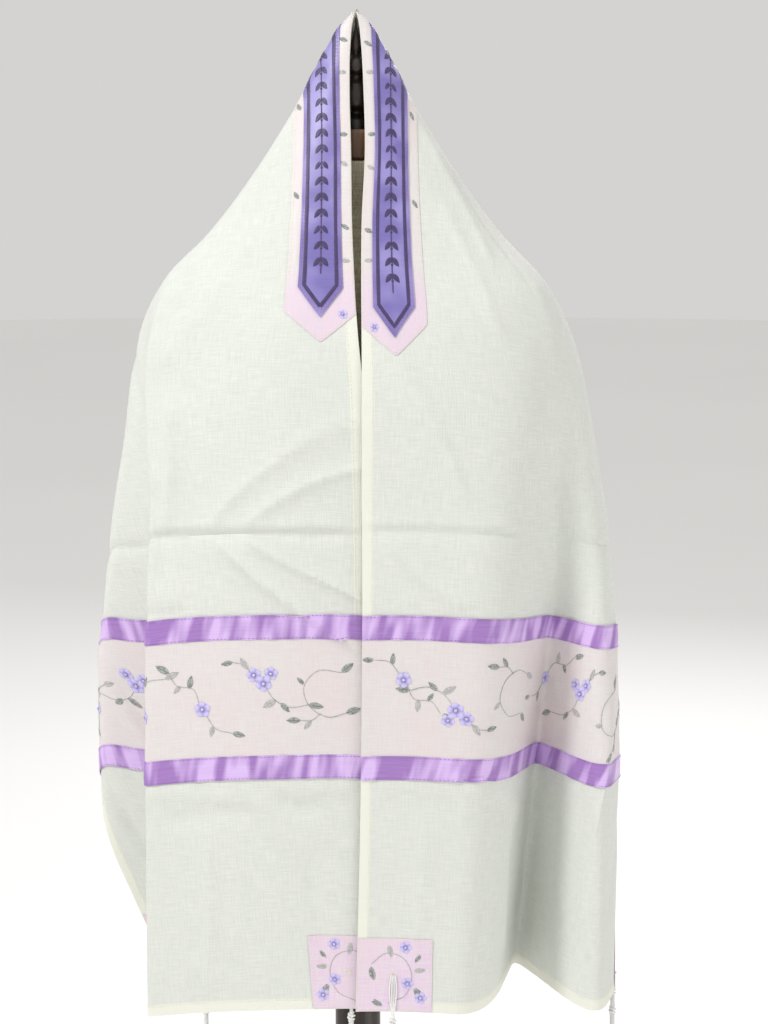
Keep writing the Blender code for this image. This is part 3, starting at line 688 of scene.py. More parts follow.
def embroidery(name, light, dark, roughness=0.42):
    """Rayon embroidery thread: shiny stitches side by side, 0.4 mm in the real one and drawn 0.8 mm wide."""
    material, tree = new_material(name, roughness, Sheen_Weight=0.2)
    place = add_node(tree, "TexCoord", output="Object")
    stitches = add_node(tree, "TexWave", (place, WAVE_PITCH / (0.8 * MM), 1.5, 1.0), "Fac",
                        bands_direction="DIAGONAL")
    speckle = add_node(tree, "MapRange", (soft_marks(tree, place, (260, 260, 260), 2.0), 0.35, 0.65, 0, 0.5))
    share = add_node(tree, "Math", (stitches, 0.5, speckle), operation="MULTIPLY_ADD")
    return surface(material, dark, [(share, light)], stitches, 0.4, 0.2 * MM)


def embroidered_leaf(name, light, dark):
    """Filled leaf in rayon: slanted rows of satin stitch with a soft shine, painted highlight specks and a dark
    midrib.
    """
    material, tree = new_material(name, 0.38, Sheen_Weight=0.2)
    along, across, _ = add_node(tree, "SeparateXYZ", (add_node(tree, "UVMap", uv_map="FlatCloth"),), slice(3))
    side = add_node(tree, "Math", (across,), operation="ABSOLUTE")
    slant = add_node(tree, "Math", (side, -0.7, along), operation="MULTIPLY_ADD")
    phase = add_node(tree, "Math", (slant, 62.0), operation="MULTIPLY")
    rows = add_node(tree, "Math", (phase,), operation="SINE")
    # Painted highlights: random specks of the light colour over the stitch rows.
    marks = soft_marks(tree, add_node(tree, "TexCoord", output="Object"), (520, 520, 520), 2.0)
    painted_glints = add_node(tree, "MapRange", (marks, 0.35, 0.65, 0.15, 0.95))
    share = add_node(tree, "Math", (rows, 0.22, painted_glints), operation="MULTIPLY_ADD")
    midrib = add_node(tree, "MapRange", (side, 0.02, 0.08, 0.15, 1))
    share = add_node(tree, "Math", (share, midrib), operation="MULTIPLY")
    return surface(material, dark, [(share, light)], rows, 0.3, 0.15 * MM)


def embroidered_petal(colours):
    """Petal in lilac rayon: glossy stitches fan out from its foot; painted shade darkens the foot and the
    sides, where the petals meet, and leaves the middle of the tip pale.
    """
    material, tree = new_material("Lilac petal stitches", 0.36, Sheen_Weight=0.2)
    along, across, _ = add_node(tree, "SeparateXYZ", (add_node(tree, "UVMap", uv_map="FlatCloth"),), slice(3))
    side = add_node(tree, "Math", (across,), operation="ABSOLUTE")
    # Painted shade: the colour falls to the deep lilac ground at the petal's foot and along its sides, where it
    # meets the bead and the next petals.
    foot_shade_fade = add_node(tree, "MapRange", (along, 0.0, 0.62, 0.05, 1))
    side_shade_fade = add_node(tree, "MapRange", (side, 0.26, 0.48, 1, 0.35))
    pale = add_node(tree, "Math", (foot_shade_fade, side_shade_fade), operation="MULTIPLY")
    phase = add_node(tree, "Math", (across, 46.0), operation="MULTIPLY")
    fan = add_node(tree, "Math", (phase,), operation="SINE")
    share = add_node(tree, "Math", (fan, 0.10, pale), operation="MULTIPLY_ADD")
    # The deep lilac ground is the colour of the painted shade.
    return surface(material, linear("#7468B0"), [(share, colours.petal)], fan, 0.25, 0.12 * MM)


def spun_cord(name, colour):
    """Spun wool cord: matt and hairy, with plies that cross it at a slant, drawn 1 mm apart."""
    material, tree = new_material(name, 0.85, Sheen_Weight=0.4, Sheen_Roughness=0.5)
    place = add_node(tree, "TexCoord", output="Object")
    plies = add_node(tree, "TexWave", (place, WAVE_PITCH / (1.0 * MM), 0.8), "Fac",
                     bands_direction="DIAGONAL")
    fuzz = add_node(tree, "MapRange", (soft_marks(tree, place, (900, 900, 900), 2.0), 0.3, 0.7, 0.1, 0.6))
    share = add_node(tree, "Math", (plies, 0.5, fuzz), operation="MULTIPLY_ADD")
    return surface(material, [0.72 * part for part in colour], [(share, colour)], plies, 0.5, 0.2 * MM)


def form_linen(colour):
    """Unbleached linen stretched over the form: coarse plain weave with dark and pale slubs, 1.6 mm apart."""
    material, tree = new_material("Unbleached linen", 0.9, Sheen_Weight=0.15)
    place = add_node(tree, "TexCoord", output="Object")
    warp, weft = (add_node(tree, "TexWave", (place, WAVE_PITCH / (1.6 * MM), 0.0), "Fac", bands_direction=axis)
                  for axis in "XZ")
    marks = soft_marks(tree, place, (600, 600, 30)), soft_marks(tree, place, (30, 30, 600))
    slubs = add_node(tree, "MapRange", (add_node(tree, "Math", marks, operation="ADD"), 0.75, 1.25, 0, 1))
    height = add_node(tree, "Math", (warp, weft), operation="ADD")
    return surface(material, [0.62 * part for part in colour], [(slubs, colour)], height, 0.4, 0.3 * MM)


def stained_wood(name, colour, dark, roughness, upright):
    """Turned beech, stained and varnished: long narrow grain under a satin coat."""
    material, tree = new_material(name, roughness, Coat_Weight=0.3, Coat_Roughness=0.25)
    place = add_node(tree, "TexCoord", output="Object")
    scale = (140, 140, 7) if upright else (9, 140, 140)
    pores = soft_marks(tree, place, [6 * part for part in scale], 2.0)
    bands = add_node(tree, "MapRange", (soft_marks(tree, place, scale, 5.0, 0.6), 0.35, 0.65, 0, 0.8))
    fine = add_node(tree, "MapRange", (pores, 0.3, 0.7, 0, 0.2))
    share = add_node(tree, "Math", (bands, fine), operation="ADD")
    return surface(material, dark, [(share, colour)], pores, 0.12, 0.2 * MM)


def studio_paper():
    """Seamless white paper, matt with a very faint tone change."""
    material, tree = new_material("White studio paper", 0.9)
    clouds = soft_marks(tree, add_node(tree, "TexCoord", output="Object"), (0.6, 0.6, 0.6), 2.0)
    return surface(material, linear("#F6F5F4"), [(clouds, linear("#FCFBFA"))])


# Settings

def colour_property(name, description, code):
    """Colour setting from an sRGB hex value."""
    return bpy.props.FloatVectorProperty(name=name, description=description, subtype="COLOR", size=3,
                                         min=0.0, max=1.0, default=linear(code))


def length_property(name, description, usual, low, high):
    """Length setting, with its values in mm."""
    return bpy.props.FloatProperty(name=name, description=description, default=usual * MM, min=low * MM,
                                   max=high * MM, unit="LENGTH", precision=5)


class ShawlColours(bpy.types.PropertyGroup):
    """Colours of the shawl, its trims and its stand."""
    cloth: colour_property("Cloth", "Ground of the woven cloth", "#E4E6DF")
    cloth_shade: colour_property("Cloth shade", "Darker threads and soft marks of the cloth", "#D5D9D2")
    hem: colour_property("Hem", "Turned hems, two layers thick", "#EEEEE1")
    blush: colour_property("Blush", "Warm tint of the organza", "#E7D3D3")
    organza: colour_property("Organza", "Ground of the embroidered organza", "#DDD3D5")
    patch: colour_property("Patch", "Pink organza of the corner patches", "#E3C6E2")
    # The ribbon and neckband highlight colours are painted highlights, laid in patches over each satin's darker
    # ground.
    ribbon_highlight: colour_property("Ribbon highlight", "Painted highlights of the satin ribbon", "#DEC0F3")
    ribbon_dark: colour_property("Ribbon dark", "Ground of the satin ribbon", "#9C72BA")
    band_highlight: colour_property("Neckband highlight", "Painted highlights of the neckband", "#9A91CC")
    band_dark: colour_property("Neckband dark", "Ground of the neckband", "#766BAE")
    band_line: colour_property("Neckband line", "Purple lines and ornament on the neckband", "#4E3F70")
    leaf: colour_property("Leaf", "Silver-grey thread of leaves and vines", "#B4B8B5")
    petal: colour_property("Petal", "Lilac thread of the flowers", "#D0C8F4")
    cord: colour_property("Cord", "Spun cord of the corner fringes", "#F7F7F5")
    linen: colour_property("Linen", "Cover of the dress form", "#D5CCB2")
    wood: colour_property("Wood", "Stained wood of the stand", "#3A2A22")


class ShawlSizes(bpy.types.PropertyGroup):
    """Sizes of the finer work on the shawl."""
    cloth_grid: length_property("Cloth grid", "Spacing of the cloth's points away from creases", 6, 4, 20)
    pucker: length_property("Ribbon pucker", "Height of the puckers along the ribbons", 0.95, 0, 2)
    stitch: length_property("Stitch", "Length of one sewing stitch", 2.4, 1, 6)
    thread: length_property("Thread", "Thickness of the sewing thread", 0.45, 0.2, 1)
    flower: length_property("Flower", "Width of an embroidered flower", 14, 5, 30)
    leaf: length_property("Leaf", "Length of an embroidered leaf", 14, 5, 30)
    cord: length_property("Fringe cord", "Thickness of one strand of a fringe", 1.4, 0.5, 3)


MATERIALS = {}


def prepare_materials():
    """Make every material from the colour settings."""
    colours = bpy.context.scene.shawl_colours
    pale_leaf = [0.5 * (leaf + ground) for leaf, ground in zip(colours.leaf, colours.organza)]
    stain = linear("#15100D")
    MATERIALS.update({
        "cloth": ivory_cloth(colours),
        "organza": organza("Blush organza", colours, colours.organza),
        "backing": organza("Neckband organza", colours, colours.organza, pink_from=0.235),
        "patch": organza("Pink organza", colours, colours.patch),
        "ribbon": satin("Orchid satin", colours.ribbon_highlight, colours.ribbon_dark, 0.30, (16, 74, 1)),
        "neckband": satin("Violet satin", colours.band_highlight, colours.band_dark, 0.40, (24, 20, 1)),
        "line": embroidery("Dark violet rayon thread", colours.band_line,
                           [0.55 * part for part in colours.band_line]),
        "leaf": embroidered_leaf("Silver-grey leaf stitches", colours.leaf, linear("#6A706D")),
        "pale leaf": embroidered_leaf("Pale leaf stitches", pale_leaf, linear("#A5A5A5")),
        "petal": embroidered_petal(colours),
        "bead": embroidery("Pale bead", linear("#E8E4F4"), linear("#B4ACD0"), 0.15),
        "cream thread": spun_cord("Cream sewing thread", linear("#F4F0DC")),
        "lilac thread": spun_cord("Lilac sewing thread", linear("#A987C4")),
        "cord": spun_cord("White spun wool", colours.cord),
        "linen": form_linen(colours.linen),
        "wood": stained_wood("Dark stained beech", colours.wood, stain, 0.38, True),
        "flat wood": stained_wood("Dark stained beech board", colours.wood, stain, 0.38, False),
        "brown wood": stained_wood("Brown beech", linear("#8E6A4E"), linear("#57392A"), 0.42, True),
    })


# Stage

# Soft lights: name, place, aim, size in metres and power in watts. The high one on the left shows the creases.
LIGHTS = (
    ("Key", (-2.4, -1.9, 4.2), (0, -0.1, 1.1), 0.8, 100),
    ("Fill", (3.4, -2.4, 1.6), (0, -0.1, 1.0), 2.6, 30),
    ("Top", (0.3, 0.6, 4.4), (0, 0, 1.0), 2.4, 12),
    ("Back", (0.8, 3.8, 2.6), (0, 0, 1.1), 1.8, 42),
)
AMBIENT = 0.68
FLOOR_RADIUS = 14.0
CAMERA_AIM = (0.025, -0.118, 1.166)
CAMERA_DISTANCE = 2.13
CAMERA_ELEVATION = math.radians(10)
CAMERA_LENS = 57


class SHAWL_OT_stage(bpy.types.Operator):
    """Add the pale floor, the soft studio light and the camera at the photograph's angle"""
    bl_idname = "shawl.stage"
    bl_label = "Stage"

    def execute(self, context):
        bpy.ops.object.select_all(action="DESELECT")
        bpy.ops.mesh.primitive_circle_add(vertices=96, radius=FLOOR_RADIUS, fill_type="NGON",
                                          location=(0, 0, -0.5 * MM))
        floor = context.object
        floor.name = "studio_floor"
        bpy.ops.object.transform_apply(location=True, rotation=True, scale=True)
        floor.data.materials.append(studio_paper())
        world = bpy.data.worlds.new("Studio white")
        world.use_nodes = True
        background = world.node_tree.nodes["Background"]
        background.inputs["Color"].default_value = (*linear("#FBFAF8"), 1)
        background.inputs["Strength"].default_value = AMBIENT
        context.scene.world = world
        context.scene.view_settings.view_transform = "Standard"
        for name, place, target, size, power in LIGHTS:
            bpy.ops.object.light_add(type="AREA", location=place)
            light = context.object
            light.name = name
            light.data.size = size
            light.data.energy = power
            self.aim(light, target)
        x, y, z = CAMERA_AIM
        bpy.ops.object.camera_add(location=(x, y - CAMERA_DISTANCE * math.cos(CAMERA_ELEVATION),
                                            z + CAMERA_DISTANCE * math.sin(CAMERA_ELEVATION)))
        camera = context.object
        camera.name = "photo_camera"
        camera.data.sensor_fit = "VERTICAL"
        camera.data.sensor_height = 24
        camera.data.lens = CAMERA_LENS
        self.aim(camera, CAMERA_AIM)
        context.scene.camera = camera
        return {"FINISHED"}

    @staticmethod
    def aim(obj, target):
        """Turn a light or the camera towards a point."""
        away = [there - here for there, here in zip(target, obj.location)]
        level = math.hypot(away[0], away[1])
        obj.rotation_euler = (math.pi / 2 + math.atan2(away[2], level), 0, math.atan2(-away[0], away[1]))


# Stand

def turned(name, rings, sides, material, slot, node):
    """Turned piece: a disc drawn up ring by ring, each ring (half width, half depth, height) in mm."""
    bpy.ops.object.select_all(action="DESELECT")
    width, depth, height = rings[0]
    bpy.ops.mesh.primitive_circle_add(vertices=sides, radius=width * MM, fill_type="NGON",
                                      location=(0, 0, height * MM))
    obj = bpy.context.object
    bpy.ops.object.transform_apply(location=True, rotation=True, scale=True)
    bpy.ops.object.mode_set(mode="EDIT")
    bpy.ops.mesh.select_all(action="SELECT")
    bpy.ops.transform.resize(value=(1, depth / width, 1), center_override=(0, 0, height * MM))
    for low, high in zip(rings, rings[1:]):
        bpy.ops.mesh.extrude_region_move(TRANSFORM_OT_translate={"value": (0, 0, (high[2] - low[2]) * MM)})
        bpy.ops.transform.resize(value=(high[0] / low[0], high[1] / low[1], 1),
                                 center_override=(0, 0, high[2] * MM))
    bpy.ops.mesh.select_all(action="DESELECT")
    bpy.ops.mesh.select_non_manifold()
    bpy.ops.mesh.edge_face_add()
    bpy.ops.mesh.select_all(action="SELECT")
    bpy.ops.mesh.normals_make_consistent(inside=False)
    bpy.ops.object.mode_set(mode="OBJECT")
    obj.name = name
    obj.data.materials.append(material)
    bpy.ops.object.shade_smooth_by_angle(angle=math.radians(35))
    return finished(obj, slot, node)


def finer(table, step):
    """Rings with in-between ones on a smooth curve through a table of (height, half width, half depth)."""
    heights, widths, depths = (np.array(column, float) for column in zip(*table))
    between = evenly(heights[0], heights[-1], step)
    query = np.unique(np.round(np.concatenate([between, heights]), 3))
    return list(zip(smooth_through(heights, widths, query), smooth_through(heights, depths, query), query))


class SHAWL_OT_stand(bpy.types.Operator):
    """Turn the dress form, its neck block and finial, the pole and the base"""
    bl_idname = "shawl.stand"
    bl_label = "Dress form stand"

    def execute(self, context):
        turned("form_body", finer(FORM_RINGS, 9), 96, MATERIALS["linen"], "linen", "dress_form_body")
        rows = [(APEX_HEIGHT / MM - drop, radius, radius) for drop, radius in FINIAL_PROFILE]
        turned("form_finial", finer(rows, 1.5), 48, MATERIALS["wood"], "dark_wood", "finial")
        rounding = 2.5
        block = [(BLOCK_RADIUS - rounding, BLOCK_BOTTOM), (BLOCK_RADIUS, BLOCK_BOTTOM + rounding),
                 (BLOCK_RADIUS, BLOCK_TOP - rounding), (BLOCK_RADIUS - rounding, BLOCK_TOP)]
        turned("form_neck_block", [(radius, radius, height) for radius, height in block], 64,
               MATERIALS["brown wood"], "brown_wood", "neck_block")
        groove = POLE_RADIUS - 1.2
        collar = [(POLE_RADIUS, POLE_BOTTOM), (POLE_RADIUS, POLE_TOP - 60), (groove, POLE_TOP - 58),
                  (groove, POLE_TOP - 54), (POLE_RADIUS, POLE_TOP - 52), (POLE_RADIUS, POLE_TOP)]
        turned("stand_pole", [(radius, radius, height) for radius, height in collar], 64, MATERIALS["wood"],
               "dark_wood", "pole")
        base = [(183.5, 183.5, 0), (185, 185, 1.5), (185, 185, 14), (184, 184, 17.5), (182, 182, 20)]
        base += [(radius, radius, height) for radius, height in BASE_PROFILE[2:]]
        turned("stand_base_board", base, 128, MATERIALS["flat wood"], "dark_wood", "base")
        return {"FINISHED"}


# Shawl

class SHAWL_OT_cloth(bpy.types.Operator):
    """Drape the woven cloth with its creases and turned hems"""
    bl_idname = "shawl.cloth"
    bl_label = "Woven cloth"

    def execute(self, context):
        grid = context.scene.shawl_sizes.cloth_grid
        near_tip = np.array([0.0, 2.0, 4.5, 7.5, 11.0]) * MM
        creased_from, creased_to, creased_across = 0.40, 0.60, 0.20
        half = np.concatenate([near_tip, evenly(near_tip[-1], creased_from, grid)[1:],
                               evenly(creased_from, creased_to, grid / 2)[1:],
                               evenly(creased_to, HALF_LENGTH - HEM_WIDTH, grid)[1:],
                               [HALF_LENGTH - 5 * MM, HALF_LENGTH]])
        along = np.concatenate([-half[:0:-1], half])
        across = np.concatenate([near_tip, evenly(near_tip[-1], creased_across, grid / 2)[1:],
                                 evenly(creased_across, WIDTH - HEM_WIDTH, grid)[1:],
                                 [WIDTH - 5 * MM, WIDTH]])
        flat_u, flat_v = np.meshgrid(along, across, indexing="ij")
        cloth = sheet_object("shawl_cloth", flat_u, flat_v, 0.0, CLOTH, MATERIALS["cloth"])
        finished(cloth, "ivory_cloth", "shawl_crown", "shawl_left_end", "shawl_right_end")
        return {"FINISHED"}


# Puckers across a ribbon: place along it, width and height as shares of the full pucker
PUCKERS = (
    (0.015, 0.014, 0.7), (0.047, 0.010, -0.8), (0.071, 0.016, 1.0), (0.108, 0.009, 0.6), (0.126, 0.012, -1.0),
    (0.149, 0.013, 0.8), (0.187, 0.018, 0.5), (0.214, 0.008, -0.9), (0.229, 0.010, 1.0), (0.262, 0.015, -0.6),
    (0.291, 0.011, 0.9), (0.312, 0.009, -0.7), (0.338, 0.016, 0.8), (0.371, 0.010, -1.0), (0.389, 0.011, 0.9),
    (0.420, 0.014, -0.5), (0.446, 0.009, 1.0), (0.463, 0.010, -0.8), (0.487, 0.012, 0.7),
)


def pucker_height(along, across, shift, slant):
    """Height of the puckers at places along (0 to the width of the shawl) and across (0 to 1) a ribbon."""
    height = np.zeros_like(along)
    for place, width, rise in PUCKERS:
        centre = (place + shift) % WIDTH + slant * rise * (across - 0.5)
        height += rise * np.exp(-((along - centre) / (0.6 * width))**2)
    edge_waves = 0.35 * np.sin(along / (3.1 * MM) + 9 * shift) * np.abs(2 * across - 1)**3
    return height * (0.35 + 0.65 * np.sin(math.pi * across)) + edge_waves


class SHAWL_OT_bands(bpy.types.Operator):
    """Sew the satin ribbons and the organza bands across both ends"""
    bl_idname = "shawl.bands"
    bl_label = "Ribbons and organza bands"

    def execute(self, context):
        pucker = context.scene.shawl_sizes.pucker
        for label, side in SIDES.items():
            for number, (place, band) in enumerate((("upper", UPPER_RIBBON), ("lower", LOWER_RIBBON))):
                name = f"{label}_{place}_ribbon"
                shift = (0.000, 0.137, 0.291, 0.410)[2 * (side > 0) + number]
                flat_u, flat_v = end_grid(side, np.linspace(*band, 10), evenly(0, WIDTH, 1.6 * MM))
                across = (np.abs(flat_u) - band[0]) / (band[1] - band[0])
                height = pucker_height(flat_v, across, shift, 0.012)
                lift = RIBBON_LIFT + 0.5 * pucker * (height + np.sqrt(height**2 + 0.05))
                ribbon = sheet_object(f"satin_{name}", flat_u, flat_v, lift, RIBBON, MATERIALS["ribbon"])
                finished(ribbon, "satin_ribbon", name)
            top, bottom = UPPER_RIBBON[1] - 1.0 * MM, LOWER_RIBBON[0] + 1.0 * MM
            flat_u, flat_v = end_grid(side, evenly(top, bottom, 4 * MM), evenly(0, WIDTH, 4 * MM))
            ripple = np.sin(flat_u / (9 * MM) + 5 * flat_v) + np.sin(flat_v / (13 * MM) + 3 * flat_u)
            band = sheet_object(f"organza_{label}_band", flat_u, flat_v, ORGANZA_LIFT + 0.10 * MM * ripple,
                                ORGANZA, MATERIALS["organza"])
            finished(band, "organza", f"{label}_organza_band")
        return {"FINISHED"}


class SHAWL_OT_patches(bpy.types.Operator):
    """Sew a pink organza patch on each corner"""
    bl_idname = "shawl.patches"
    bl_label = "Corner patches"

    def execute(self, context):
        inset = 1.0 * MM
        for label, side in SIDES.items():
            for corner, low in (("front", inset), ("far", WIDTH - PATCH)):
                flat_u, flat_v = end_grid(side, evenly(HALF_LENGTH - PATCH, HALF_LENGTH - inset, 3 * MM),
                                          evenly(low, low + PATCH - inset, 3 * MM))
                patch = sheet_object(f"organza_{label}_{corner}_patch", flat_u, flat_v, ORGANZA_LIFT + 0.1 * MM,
                                     ORGANZA, MATERIALS["patch"])
                finished(patch, "pink_organza", f"{label}_{corner}_patch")
        return {"FINISHED"}


def pointed_strip(corner, low, high, grid):
    """Flat grid of a strip along the neck edge, drawn out to a point past each corner."""
    along = evenly(-corner[-1], corner[1], grid)
    flat_u, flat_v = np.meshgrid(along, evenly(low, high, 2.5 * MM), indexing="ij")
    share = np.clip(1 - np.abs(flat_v - BAND_MIDDLE) / (high - BAND_MIDDLE), 0, 1)
    for side in SIDES.values():
        ramp = np.clip((side * flat_u - corner[side] + POINT) / POINT, 0, 1)
        flat_u = flat_u + side * POINT * share * ramp
    return flat_u, flat_v


def edge_path(corner, distance, low, high):
    """Flat path round the neckband at a distance inside its edge, from one point round to itself."""
    reach = distance * (math.hypot(POINT, high - BAND_MIDDLE) / (high - BAND_MIDDLE))
    slope_shift = reach - distance * POINT / (high - BAND_MIDDLE)
    corners = []
    for side in (-1, 1):
        straight = side * (corner[side] - slope_shift)
        point = side * (corner[side] + POINT - reach)
        corners.append((straight, point))
    (left, left_point), (right, right_point) = corners
    inner, outer = low + distance, high - distance
    stops = [(left_point, BAND_MIDDLE), (left, inner), (right, inner), (right_point, BAND_MIDDLE),
             (right, outer), (left, outer), (left_point, BAND_MIDDLE)]
    return walk(stops, 3 * MM)


def walk(stops, step):
    """Evenly spaced points along a line through the stops."""
    path = [np.array(stops[:1], float)]
    for start, end in zip(stops, stops[1:]):
        count = max(1, round(math.dist(start, end) / step))
        share = np.arange(1, count + 1)[:, None] / count
        path.append(np.array(start) * (1 - share) + np.array(end) * share)
    return np.concatenate(path)


def ribbon_line(name, flat_path, width, lift, thickness, material, slot):
    """Narrow flat line of satin stitch along a flat path."""
    ahead = np.gradient(flat_path, axis=0)
    ahead = ahead / np.linalg.norm(ahead, axis=1, keepdims=True)
    aside = np.stack([-ahead[:, 1], ahead[:, 0]], axis=-1)
    flat = np.stack([flat_path - aside * width / 2, flat_path, flat_path + aside * width / 2], axis=1)
    flat[..., 1] = np.clip(flat[..., 1], 0, WIDTH)
    rise = lift + np.array([0.0, 0.25 * MM, 0.0])
    obj = sheet_object(name, flat[..., 0], flat[..., 1], rise, thickness, material)
    return finished(obj, slot)


class SHAWL_OT_neckband(bpy.types.Operator):
    """Sew the pointed neckband with its lines and leafy ornament on its organza backing"""
    bl_idname = "shawl.neckband"
    bl_label = "Neckband"

    def execute(self, context):
        templates = make_templates()
        flat_u, flat_v = pointed_strip(BACKING_CORNER, 0.6 * MM, BACKING_OUTER, 3.5 * MM)
        backing = sheet_object("neckband_organza", flat_u, flat_v, ORGANZA_LIFT, ORGANZA, MATERIALS["backing"])
        finished(backing, "organza", "neckband_backing")
        flat_u, flat_v = pointed_strip(BAND_CORNER, BAND_INNER, BAND_OUTER, 3 * MM)
        swell = 0.12 * MM * np.sin(flat_u / (11 * MM) + 60 * flat_v) + 0.10 * MM * np.sin(flat_u / (4.7 * MM))
        band = sheet_object("neckband_satin", flat_u, flat_v, BAND_LIFT + swell, BAND, MATERIALS["neckband"])
        finished(band, "neckband_satin", "neckband")
        top = BAND_LIFT + BAND / 2
        ribbon_line("neckband_line", edge_path(BAND_CORNER, 5.6 * MM, BAND_INNER, BAND_OUTER), 3.2 * MM,
                    top + 0.15 * MM, 0.4 * MM, MATERIALS["line"], "neckband_satin")
        self.ornament(templates, top)
        return {"FINISHED"}

    @staticmethod
    def ornament(templates, top):
        """A leafy branch with small beads along each half of the band."""
        work = Needlework(templates)
        pitch = 15 * MM
        for side in SIDES.values():
            start, end = 0.030, BAND_CORNER[side] - 0.012
            stem = [(side * distance, BAND_MIDDLE) for distance in evenly(start, end, 3 * MM)]
            work.thread(stem, 0.5 * MM, top + 0.2 * MM)
            for distance in np.arange(start + 0.006, end - 0.004, pitch):
                for aside in (-1, 1):
                    turn = math.atan2(aside * 0.75, side)
                    work.lay("leaf", side * distance, BAND_MIDDLE + aside * 0.6 * MM, turn, 10.5 * MM, 5.0 * MM,
                             0.35 * MM, top + 0.1 * MM)
                work.lay("bead", side * (distance + 0.45 * pitch), BAND_MIDDLE, 0, 2.6 * MM, 2.6 * MM, 0.9 * MM,
                         top + 0.35 * MM)
        work.object("neckband_ornament", MATERIALS["line"], "neckband_satin")


# Thickness of a vine's thread
VINE = 0.62 * MM

# Sprays of the band's embroidery, each drawn in its own frame in mm: x down the band, y along it.
# vine: stops of a smooth curve. leaves: place, turn in degrees, share of the full size. flowers: places.
SPRAYS = {
    "cluster": {
        "vines": (((4, -2), (14, -8), (22, -22), (20, -38)), ((-6, 10), (-16, 14), (-20, 26))),
        "leaves": ((15, -10, 60, 1.0), (18, -14, -40, 0.8), (20, -38, -80, 1.0), (-13, 13, 150, 0.9),
                   (-20, 26, 80, 0.8)),
        "flowers": ((0, 0), (-8, 8), (-9, -7)),
    },
    "loop": {
        "vines": (((-20, -4), (-14, 16), (4, 23), (20, 12), (23, -6), (14, -19)), ((22, 2), (31, 8), (34, 17))),
        "leaves": ((-20, -4, -150, 1.0), (14, -19, -130, 1.0), (31, 8, 20, 0.8), (34, 17, 70, 0.9),
                   (2, 23, 120, 0.7)),
        "flowers": (),
    },
    "single": {
        "vines": (((3, 4), (12, 18), (10, 32)), ((-3, -4), (-14, -14), (-12, -30), (-20, -40))),
        "leaves": ((10, 32, 100, 0.9), (10, 14, 10, 0.8), (-13, -18, -170, 0.9), (-20, -40, -100, 1.0),
                   (-13, -26, -20, 0.7)),
        "flowers": ((0, 0),),
    },
}
# Where the sprays lie on a band: kind, mm down from the band's top edge and along it, turn, mirrored
LAYOUT_COLUMNS = ("kind", "down", "along", "turn", "mirrored")
BAND_LAYOUT = {
    "left": (
        ("loop", 48, 34, 20, False), ("cluster", 40, 92, 0, False), ("single", 62, 148, 25, True),
        ("cluster", 58, 214, 170, True), ("single", 34, 268, -20, False), ("loop", 56, 322, 200, True),
        ("cluster", 44, 388, 15, True), ("single", 66, 446, 160, False),
    ),
    "right": (
        ("single", 36, 40, 165, False), ("cluster", 62, 86, 185, True), ("loop", 50, 150, 195, False),
        ("single", 40, 206, 10, True), ("cluster", 46, 258, 10, False), ("loop", 58, 316, 30, True),
        ("single", 66, 372, 200, False), ("cluster", 42, 430, -15, True),
    ),
}
# Corner patches: leaves as mm from the hem and from the side edge, turn, share; flowers; one curved vine
PATCH_LEAVES = ((44, 12, 20, 1.4), (64, 30, 15, 1.2), (12, 14, 60, 1.2), (24, 54, 35, 1.3), (40, 53, 95, 1.1),
                (56, 60, -35, 0.9))
PATCH_FLOWERS = ((28, 48), (62, 46), (14, 60))
PATCH_VINE = ((8, 30), (16, 46), (34, 52), (50, 46), (56, 28), (46, 14))


